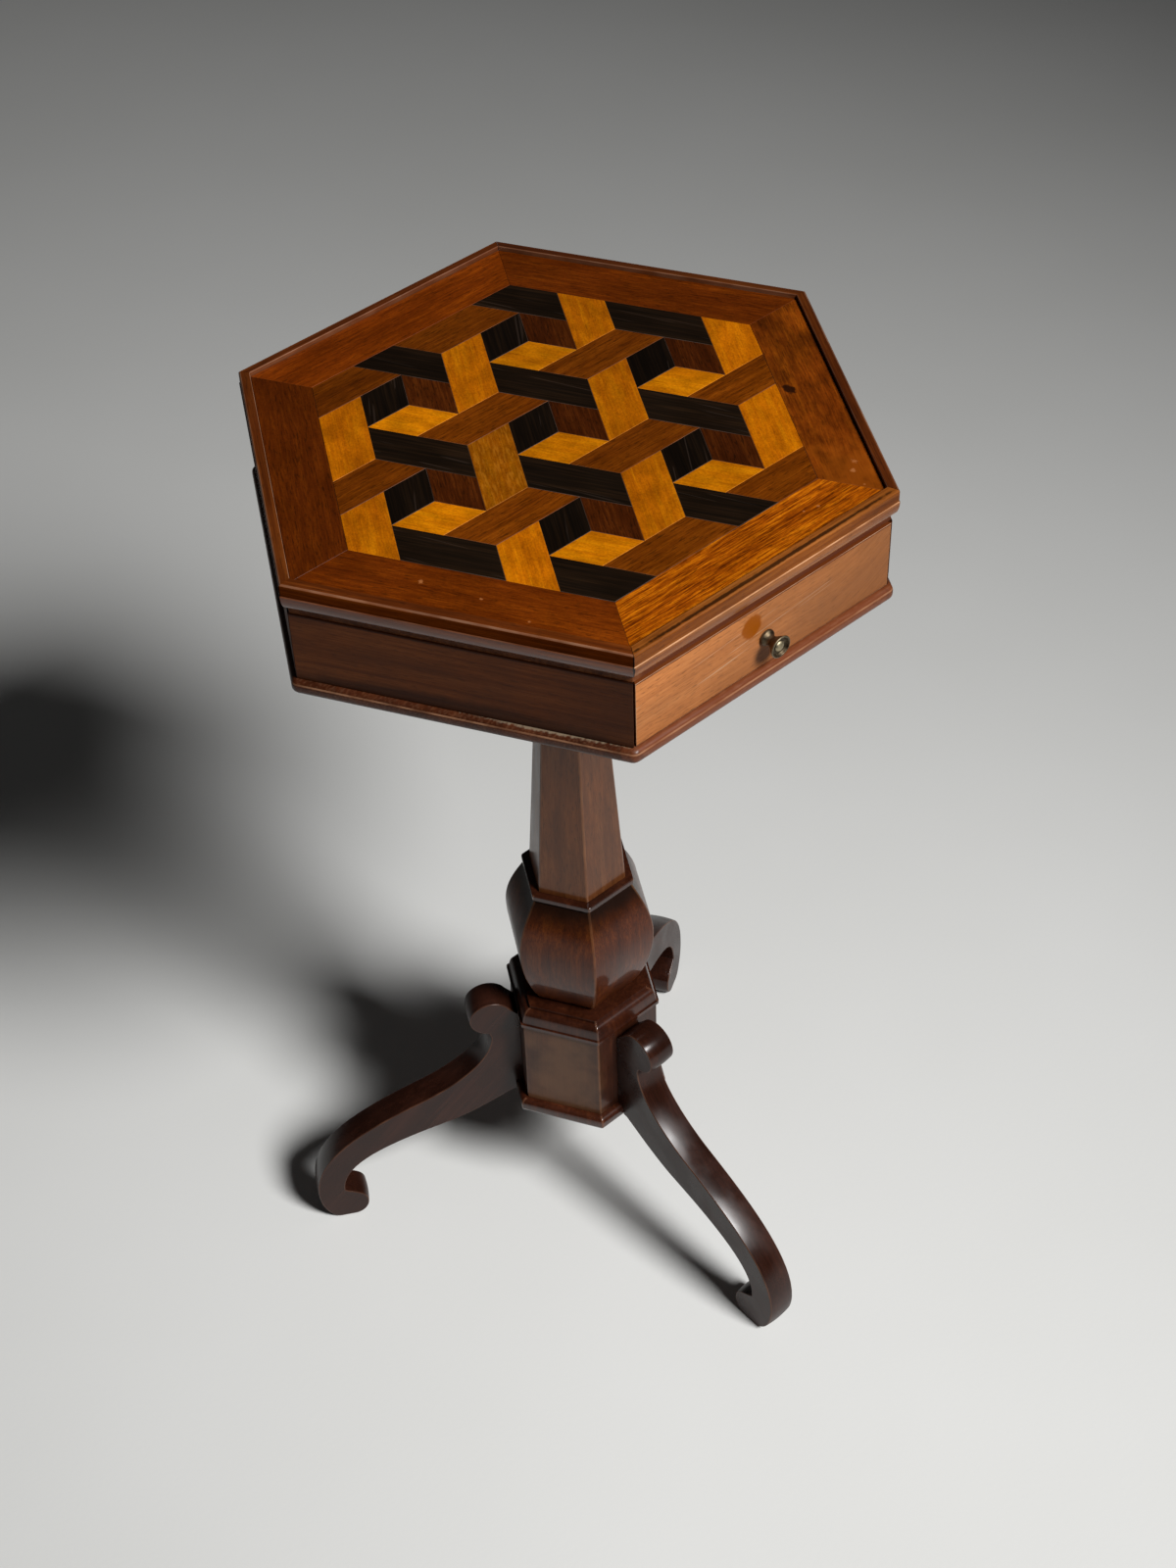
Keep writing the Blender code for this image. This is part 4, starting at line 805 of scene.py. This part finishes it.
def build_parquetry():
    motif_count = 0
    bar_count = 0
    index = 0
    reach = range(-FIELD_RHOMBS, FIELD_RHOMBS + 1)
    for across in reach:
        for up in reach:
            pieces = motif_pieces(across, up)
            whole = len(pieces) == len(MOTIF)
            motif_count += whole
            for number, piece in enumerate(pieces):
                index += 1
                if whole:
                    node = f"parquetry_motif_{motif_count}"
                    add_veneer(f"veneer_{motif_count}_{number + 1}", node, piece, index)
                    continue
                bar_count += 1
                add_veneer(f"veneer_edge_{bar_count}", f"parquetry_edge_bar_{bar_count}", piece, index)


# Wood and tone of each border strip, in the order of the sides
BORDER_WOODS = ((BORDER_GOLD, 1.1), (BORDER_SMOKY, 0.95), (BORDER, 1.03), (BORDER, 1.62),
                (BORDER, 0.76), (BORDER, 1.17))


def build_border():
    section = [(BORDER_APOTHEM, VENEER_BOTTOM), (LIP_APOTHEM, VENEER_BOTTOM),
               (LIP_APOTHEM, SURFACE), (BORDER_APOTHEM, SURFACE)]
    for side, name in enumerate(SIDE_NAMES):
        bm = mitred(section, VENEER_GAP)
        rim = [edge for edge in bm.edges if min(vert.co.z for vert in edge.verts) > SURFACE - VENEER_ARRIS]
        soften(bm, rim, BORDER_ARRIS, 1)
        bm.transform(Matrix.Rotation(math.radians(60 * side), 4, "Z"))
        material, tone = BORDER_WOODS[side]
        add_piece(f"border_{name}", bm, material, [f"border_strip_{name}"], "mahogany_border",
                  turn=-60 * side, seed=5.3 + 0.71 * side, tone=tone)


def moulding_section():
    """A lip that slopes and turns down, an upright fascia, a sharp arris and a rounded lower part."""
    inner = LIP_APOTHEM + GLUE_LINE
    nose = MOULDING_APOTHEM
    fascia = nose - FASCIA_SETBACK
    foot_edge = nose - LOWER_RETURN
    lip_top = SURFACE + LIP_HEIGHT
    arris = SURFACE - ARRIS_DROP
    lip = arc((inner + LIP_ARRIS, lip_top - LIP_ARRIS), LIP_ARRIS, 180, 90, 5)
    corner = Vector((fascia, SURFACE + LIP_SHOULDER))
    slope = (Vector(lip[-1]) - corner).normalized() * LIP_ROUND
    down = Vector((0, -LIP_ROUND))
    turn = sweep(corner + slope, corner + slope / 2, corner + down / 2, corner + down, 8)
    face = [tuple(corner + down), (fascia, arris + FASCIA_SETBACK)]
    round_start = (nose, (arris + MOULDING_BOTTOM) / 2)
    round_end = (nose - LOWER_RETURN / 3, MOULDING_BOTTOM)
    ovolo = sweep((nose, arris), round_start, round_end, (foot_edge, MOULDING_BOTTOM), 12)
    return lip + turn + face + ovolo + [(foot_edge, MOULDING_BOTTOM), (inner, MOULDING_BOTTOM)]


# Woods of the moulding, each with that of its upright face, which is unpolished and darker as painted shade
FRONT_MOULDING = (MOULDING_GOLD, MOULDING_GOLD_DULL_SHADED)
SIDE_MOULDING = (MOULDING, MOULDING_DULL_SHADED)

# Tone of each length, in the order of the sides
MOULDING_TONES = (1.0, 0.75, 0.75, 1.1, 1.0, 1.05)

# How pale each length is made along its arris, its shoulder and the lip's inner edge, in the same order: worn
# edges, made brighter on some sides as painted highlights
MOULDING_WEAR_AND_HIGHLIGHTS = ((1.0, 0.0, 1.0), (0.25, 0.6, 0.5), (0.25, 0.6, 0.5),
                 (0.25, 0.6, 0.6), (0.25, 0.6, 1.0), (0.25, 0.6, 0.0))


def rub_and_highlight_moulding(bm, arris_wear_and_highlight, shoulder_wear_and_highlight, crest_wear_and_highlight):
    """Marks the pale edges of a length on the -Y side: worn edges with painted highlights."""
    arris = SURFACE - ARRIS_DROP + FASCIA_SETBACK / 2
    turned = SURFACE + LIP_SHOULDER
    crest = SURFACE + LIP_HEIGHT - LIP_ARRIS
    for face in bm.faces:
        middle = face.calc_center_median()
        outer = middle.y < -(MOULDING_APOTHEM - 2 * LIP_ROUND)
        if abs(middle.z - arris) < FASCIA_SETBACK / 2:
            mark(bm, [face], "edge", arris_wear_and_highlight)
        if middle.y > -(LIP_APOTHEM + LIP_ARRIS) and middle.z > crest:
            mark(bm, [face], "edge", crest_wear_and_highlight)
        if outer and abs(middle.z - turned) < LIP_ROUND / 2:
            mark(bm, [face], "edge", shoulder_wear_and_highlight)


def dull_and_shade_fascia(bm):
    """Gives the upright face of a length on the -Y side the second material: unpolished, and darker as
    painted shade.
    """
    bottom = SURFACE - ARRIS_DROP + FASCIA_SETBACK - GLUE_LINE
    top = SURFACE + LIP_SHOULDER - LIP_ROUND + GLUE_LINE
    for face in bm.faces:
        outer = face.calc_center_median().y < -(MOULDING_APOTHEM - 2 * FASCIA_SETBACK)
        levels = [vert.co.z for vert in face.verts]
        if outer and min(levels) > bottom and max(levels) < top:
            face.material_index = 1


def build_moulding():
    section = moulding_section()
    for side, name in enumerate(SIDE_NAMES):
        bm = mitred(section, GLUE_LINE)
        rub_and_highlight_moulding(bm, *MOULDING_WEAR_AND_HIGHLIGHTS[side])
        dull_and_shade_fascia(bm)
        bm.transform(Matrix.Rotation(math.radians(60 * side), 4, "Z"))
        material, dull = FRONT_MOULDING if name == "front" else SIDE_MOULDING
        piece = add_piece(f"moulding_{name}", bm, material, [f"top_moulding_{name}"], "mahogany_moulding",
                          turn=-60 * side, seed=9.1 + 0.83 * side, tone=MOULDING_TONES[side])
        piece.data.materials.append(dull)


def build_bottom_board():
    """A board with a rounded edge and corners, pale along its upper brink."""
    bottom, top = heights("bottom_board")
    nose = BOTTOM_NOSE * (top - bottom)
    apothem = AXIS.y - low("bottom_board").y
    profile = [(out / COS30, height) for out, height in rounded_edge(apothem, bottom, top, nose, 7)]
    bm = faceted(profile, BOTTOM_CORNER * TAN30, 7)
    mark(bm, bm.faces, "edge", 0.0)
    bm.normal_update()
    brink = [face for face in bm.faces if BRINK_LEAN[0] < face.normal.z < BRINK_LEAN[1]]
    mark(bm, brink, "edge")
    add_piece("bottom_board_dressed", bm, LIP, ["bottom_board"], "mahogany_moulding", seed=2.2,
              worn=BOTTOM_FLECKS, sharp=50)


def build_drawer_front():
    """The mitred front with eased edges, and behind it a narrower part between the drawer sides."""
    step = FRONT_INNER_APOTHEM + HOUSING_DEPTH
    section = [(step, FRONT_LOW), (CASE_APOTHEM, FRONT_LOW), (CASE_APOTHEM, FRONT_TOP), (step, FRONT_TOP)]
    bm = mitred(section, 2 * DRAWER_END_GAP)
    behind = FRONT_ARRIS - CASE_APOTHEM
    rim = [edge for edge in bm.edges if max(vert.co.y for vert in edge.verts) < behind]
    soften(bm, rim, FRONT_ARRIS)
    bm.normal_update()
    level = [face for face in bm.faces if abs(face.normal.z) > LEVEL]
    mark(bm, [face for face in level if face.calc_center_median().z > FRONT_MIDDLE], "edge", 0.0)
    bmesh.ops.translate(bm, verts=bm.verts, vec=(DRAWER_SHIFT, 0, 0))
    half = low("drawer_side_right").x - GLUE_LINE
    size = Matrix.Diagonal((2 * half, HOUSING_DEPTH, FRONT_TOP - FRONT_LOW, 1.0))
    middle = Matrix.Translation((0, -step + HOUSING_DEPTH / 2, FRONT_MIDDLE))
    bmesh.ops.create_cube(bm, size=1.0, matrix=middle @ size)
    add_piece("drawer_front_dressed", bm, FRONT, ["drawer_front"], "mahogany_front", body="drawer",
              seed=7.7)


def knob_profile(radius, rim_middle, dish):
    """Half the knob's section as (radius, distance from the drawer front), from its boss to its shank."""
    rim_top = KNOB_PROJECTION - KNOB_RIM / 2
    neck_end = KNOB_PROJECTION * KNOB_NECK_END
    foot_top = KNOB_PROJECTION * KNOB_FOOT_TOP
    foot_edge = KNOB_PROJECTION * KNOB_FOOT_EDGE
    back = AXIS.y - CASE_APOTHEM - high("drawer_knob").y
    boss = sweep((0, KNOB_PROJECTION), (KNOB_BOSS_RADIUS / 2, KNOB_PROJECTION),
                 (KNOB_BOSS_RADIUS, (dish + KNOB_PROJECTION) / 2), (KNOB_BOSS_RADIUS, dish), 9)
    cup = [(KNOB_BOSS_RADIUS, dish), (rim_middle - KNOB_RIM, dish)]
    rim = arc((rim_middle, rim_top), KNOB_RIM / 2, 180, -60, 12)
    neck = sweep(rim[-1], (KNOB_NECK_RADIUS * KNOB_NECK_FLARE, rim_top - radius / 2),
                 (KNOB_NECK_RADIUS, KNOB_PROJECTION / 2), (KNOB_NECK_RADIUS, neck_end), 12)[1:]
    foot = sweep((KNOB_NECK_RADIUS, neck_end), (KNOB_NECK_RADIUS, foot_top),
                 (KNOB_FOOT_RADIUS, foot_top), (KNOB_FOOT_RADIUS, foot_edge), 9)
    shank = [(KNOB_FOOT_RADIUS, foot_edge), (KNOB_FOOT_RADIUS, GLUE_LINE),
             (KNOB_SHANK_RADIUS, GLUE_LINE), (KNOB_SHANK_RADIUS, back), (0, back)]
    return boss + cup + rim + neck + foot + shank


def build_knob():
    """A turned knob: a boss, rubbed bright, stands in its dished face."""
    radius = high("drawer_knob").x
    rim_middle = radius - KNOB_RIM / 2
    dish = KNOB_PROJECTION - radius / 4
    bm = new_shape()
    points = [bm.verts.new((across, 0, out)) for across, out in knob_profile(radius, rim_middle, dish)]
    edges = [bm.edges.new(pair) for pair in zip(points, points[1:])]
    bmesh.ops.spin(bm, geom=points + edges, axis=(0, 0, 1), cent=(0, 0, 0), angle=math.tau,
                   steps=KNOB_STEPS, use_merge=True, use_duplicate=False)
    bmesh.ops.remove_doubles(bm, verts=bm.verts, dist=2 * TOUCHING)
    bm.normal_update()
    raised = [face for face in bm.faces if face.calc_center_median().z > dish + KNOB_RIM / 4]
    mark(bm, [face for face in raised if face.calc_center_median().xy.length < KNOB_BOSS_RADIUS], "rub")
    rim = [face for face in raised if face.calc_center_median().xy.length > rim_middle]
    mark(bm, rim, "rub", KNOB_RIM_RUB)
    seat = Matrix.Translation((0, -CASE_APOTHEM, sum(heights("drawer_knob")) / 2))
    bm.transform(seat @ Matrix.Rotation(math.radians(90), 4, "X"))
    add_piece("drawer_knob_dressed", bm, BRASS, ["drawer_knob"], "aged_brass", body="drawer", sharp=40)


def column_piece(node, profile, ease, material, seed, tone=1.0, sharp=32):
    add_piece(f"{node}_dressed", faceted(profile, ease), material, [node], "mahogany_column",
              sharp=sharp, seed=seed, tone=tone, tilt=90)


def build_column():
    """Tapered shaft, collar with eased edges, and swelling bulb."""
    collar_low, collar_high = heights("shaft_collar")
    shaft_low = collar_high + GLUE_LINE
    shaft_high = low("column_bearer").z - GLUE_LINE
    taper = [(SHAFT_FOOT_RADIUS, shaft_low), (SHAFT_TOP_RADIUS, shaft_high)]
    column_piece("shaft", taper, COLUMN_ARRIS, SHAFT, seed=3.3)

    collar = high("shaft_collar").x
    profile = rounded_edge(collar, collar_low, collar_high, (collar_high - collar_low) / 5, 4)
    column_piece("shaft_collar", profile, COLUMN_ARRIS, TRIM, seed=4.4, tone=0.85, sharp=40)

    bulb_high = collar_low - GLUE_LINE
    bulb_low = high("base_moulding").z + GLUE_LINE
    widest = bulb_high - BULB_SHOULDER
    belly_radius = high("bulb").x
    neck = collar - BULB_NECK_SETBACK
    belly = []
    shoulder = []
    for step in range(BULB_STEPS + 1):
        quarter = step / BULB_STEPS * math.pi / 2
        draw_in = math.sin(quarter) ** BULB_FULLNESS
        height = bulb_low + (widest - bulb_low) * step / BULB_STEPS
        belly.append((BULB_FOOT_RADIUS + (belly_radius - BULB_FOOT_RADIUS) * draw_in, height))
        height = widest + (bulb_high - widest) * step / BULB_STEPS
        shoulder.append((neck + (belly_radius - neck) * math.cos(quarter), height))
    column_piece("bulb", belly + shoulder[1:], COLUMN_ARRIS, BULB, seed=5.5)


def build_base():
    """Ogee moulding, block and plinth with a rounded edge."""
    bottom, top = heights("base_moulding")
    outer = high("base_moulding").x
    neck = outer - BASE_MOULDING_RUN
    ogee_top = top - BASE_FILLET
    ogee_low = bottom + BASE_FILLET
    swell = outer - BASE_FILLET
    shoulder = outer - BASE_FILLET / 2
    middle = (ogee_top + ogee_low) / 2
    ogee = sweep((neck, ogee_top), (swell, ogee_top), (swell, middle), (shoulder, ogee_low), 16)
    foot = [(shoulder, ogee_low), (outer, ogee_low), (outer, bottom)]
    profile = [(neck, top)] + ogee + foot
    column_piece("base_moulding", profile[::-1], BASE_ARRIS, TRIM, seed=6.6)

    block = [(BLOCK_RADIUS, height) for height in heights("base_block")]
    column_piece("base_block", block, BASE_ARRIS, BASE, seed=7.7)

    plinth_low, plinth_high = heights("base_plinth")
    bead = PLINTH_BEAD * (plinth_high - plinth_low)
    profile = rounded_edge(PLINTH_RADIUS, plinth_low, plinth_high, bead, 8)
    column_piece("base_plinth", profile, BASE_ARRIS, TRIM, seed=8.8, tone=1.2, sharp=50)


def leg_outline():
    """The leg's side view as (distance from the axis, height): scroll, swept shank and curled foot."""
    face = BLOCK_APOTHEM + GLUE_LINE
    notch_face = PLINTH_RADIUS * COS30 + GLUE_LINE
    plinth_low, plinth_high = heights("base_plinth")
    notch_top = plinth_high + GLUE_LINE
    scroll = Vector((face + SCROLL_OUT, high("base_block").z - SCROLL_DROP))
    run = LEG_REACH - face
    rise = scroll.y
    fall = math.radians(KNEE_SLOPE)
    downhill = Vector((math.cos(fall), -math.sin(fall)))

    def leg(along, up):
        return Vector((run * along, rise * up))

    def foot(along, up):
        return Vector((FOOT_LENGTH * along, FOOT_RISE * up))

    crook = scroll + Vector((SCROLL_RADIUS / 10, -SCROLL_RADIUS * CROOK_DROP))
    knee = Vector((face, 0)) + leg(KNEE_ALONG, KNEE_UP)
    under = knee - Vector((-downhill.y, downhill.x)) * LEG_DEPTH
    front = Vector((LEG_REACH, FOOT_RISE))
    sole_out = Vector((LEG_REACH, 0)) - foot(SOLE_OUT, 0)
    sole_in = Vector((LEG_REACH, 0)) - foot(SOLE_IN, 0)
    toe = Vector((LEG_REACH, 0)) + foot(-1, TOE_UP)
    ankle = Vector((LEG_REACH - ANKLE_DEPTH, FOOT_RISE))
    root = Vector((notch_face, plinth_low + (notch_top - plinth_low) / 5))

    upper = sweep(crook, crook + leg(*CROOK_PULL), knee - downhill * run * KNEE_PULL[0], knee)
    shin = sweep(knee, knee + downhill * run * KNEE_PULL[1], front + leg(*FRONT_PULL), front)
    heel = sweep(front, front + foot(*HEEL_PULL), sole_out + foot(*SOLE_OUT_PULL), sole_out, 12)
    curl = sweep(sole_in, sole_in + foot(*SOLE_IN_PULL), toe + foot(*TOE_LOW_PULL), toe, 12)
    instep = sweep(toe, toe + foot(*TOE_HIGH_PULL), ankle + foot(*INSTEP_PULL), ankle, 12)
    arch = sweep(ankle, ankle + leg(*ANKLE_PULL), under + leg(*ARCH_PULL), under)
    thigh = sweep(under, under + leg(*THIGH_PULL), root + leg(*ROOT_PULL), root)
    top = arc(scroll, SCROLL_RADIUS, 150, -80, 32)
    seat = [tuple(root), (notch_face, notch_top), (face, notch_top), (face, scroll.y)]
    return top + upper + shin + heel + [tuple(sole_out)] + curl + instep + arch + thigh + seat


def leg_slices():
    """Slices across the leg as (place, inset from the outline): a low crown with rounded edges."""
    half = LEG_THICKNESS / 2
    flat = half - LEG_ARRIS
    crown = [(flat * step / 4, LEG_CROWN * (step / 4) ** 2) for step in range(5)]
    edge = [(flat + x, LEG_CROWN + LEG_ARRIS - y) for x, y in arc((0, 0), LEG_ARRIS, 90, 0, 5)]
    upper = crown + edge[1:]
    return [(-across, inset) for across, inset in upper[:0:-1]] + upper


def inset_outline(outline, inset):
    """The leg's outline moved inward, point by point, except at its seat against the block."""
    seat = PLINTH_RADIUS * COS30 + 2 * GLUE_LINE
    moved = []
    for before, here, after in zip(outline[-1:] + outline[:-1], outline, outline[1:] + outline[:1]):
        ahead = (Vector(after) - Vector(before)).normalized()
        shift = inset if here[0] > seat else 0.0
        moved.append((here[0] + ahead.y * shift, here[1] - ahead.x * shift))
    return moved


def build_legs():
    """Three legs of one shape with rounded edges; the grain runs down the shank."""
    outline = leg_outline()
    slope = math.degrees(math.atan2(high("base_block").z, LEG_REACH - BLOCK_APOTHEM))
    for index, (name, angle) in enumerate(LEG_ANGLES.items()):
        bm = new_shape()
        loops = []
        for across, inset in leg_slices():
            points = inset_outline(outline, inset)
            loops.append([bm.verts.new((out, across, height)) for out, height in points])
        count = len(outline)
        for near, far in zip(loops, loops[1:]):
            for i in range(count):
                j = (i + 1) % count
                bm.faces.new((near[i], near[j], far[j], far[i]))
        bm.faces.new(loops[0])
        bm.faces.new(loops[-1])
        flat = LEG_THICKNESS / 2 - LEG_ARRIS
        outer = [face for face in bm.faces if abs(face.calc_center_median().y) > flat]
        mark(bm, [face for face in outer if len(face.verts) == 4], "edge")
        bm.transform(Matrix.Rotation(math.radians(angle), 4, "Z"))
        add_piece(f"{name}_dressed", bm, LEG, [name], "mahogany_leg", sharp=40,
                  seed=11.3 + index, tone=vary(index, LEG_VARIETY), turn=-angle, tilt=-slope)


def dress_frame():
    """Materials for the solids that stay as they are, with the direction of their grain in degrees."""
    for side, name in enumerate(SIDE_NAMES[1:], 1):
        dress_node(f"case_side_{name}", CASE, turn=-60 * side)
    for name in ("drawer_side_left", "drawer_side_right", "drawer_guide_left", "drawer_guide_right"):
        dress_node(name, PINE, turn=-90)
    for name in ("drawer_back", "drawer_bottom", "drawer_stop"):
        dress_node(name, PINE)
    dress_node("top_board", NECK)
    dress_node("column_bearer", CASE)
    dress_node("knob_nut", BRASS)
    for name in sorted(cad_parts):
        if name.startswith("bearer_screw"):
            dress_node(name, STEEL)


def dress_node(name, material, turn=0.0):
    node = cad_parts[name]
    for slot in node.material_slots:
        slot.material = material
    dress(node, seed=len(name) * 0.61 + ord(name[-1]) * 0.17, turn=turn)


def aim(item, place, target, roll=0.0):
    """Points a camera or lamp at a place, rolled about its own line of sight."""
    ahead = (Vector(target) - Vector(place)).normalized()
    level = ahead.cross(UP).normalized()
    lift = level.cross(ahead)
    turn = math.radians(roll)
    right = level * math.cos(turn) + lift * math.sin(turn)
    top = lift * math.cos(turn) - level * math.sin(turn)
    basis = Matrix((right, top, -ahead)).transposed().to_4x4()
    item.matrix_world = Matrix.Translation(place) @ basis


def add_camera():
    data = bpy.data.cameras.new("camera")
    data.lens = CAMERA_LENS
    camera = add_object("camera", data)
    aim(camera, CAMERA_PLACE, CAMERA_TARGET, CAMERA_ROLL)
    bpy.context.scene.camera = camera


def add_lights():
    """One soft lamp in front of the drawer, and a little light from the room."""
    data = bpy.data.lights.new("key", "AREA")
    data.shape = "DISK"
    data.size = KEY_SIZE
    data.energy = KEY_POWER
    data.spread = math.radians(KEY_SPREAD)
    aim(add_object("key", data), KEY_PLACE, KEY_TARGET)
    world = bpy.data.worlds.new("room")
    world.use_nodes = True
    sockets = world.node_tree.nodes["Background"].inputs
    sockets["Strength"].default_value = ROOM_LIGHT
    sockets["Color"].default_value = (1.0, 1.0, 1.0, 1.0)
    bpy.context.scene.world = world


def add_floor():
    shader = Shader("pale_floor")
    where = shader.add("TexCoord", {}, "Object")
    cloud = shader.noise(where, FLOOR_CLOUDS, 3.0)
    colour = shader.mix(cloud, srgb(*FLOOR_DIM), srgb(*FLOOR_PALE))
    grit = shader.noise(where, FLOOR_GRIT, 3.0)
    bump = shader.add("Bump", {"Height": grit, "Strength": 0.1, "Distance": 0.0005})
    material = shader.finish(base_color=colour, normal=bump, roughness=0.75, specular_ior_level=0.25)
    bm = bmesh.new()
    bmesh.ops.create_grid(bm, x_segments=4, y_segments=4, size=FLOOR_SIZE / 2)
    floor = add_object("floor", finish_mesh("floor", bm, material))
    floor.location.z = -FLOOR_DROP


build_parquetry()
build_border()
build_moulding()
build_bottom_board()
build_drawer_front()
build_knob()
build_column()
build_base()
build_legs()
dress_frame()
add_floor()
add_lights()
add_camera()
bpy.context.scene.view_settings.view_transform = "Standard"

bpy.context.view_layer.update()
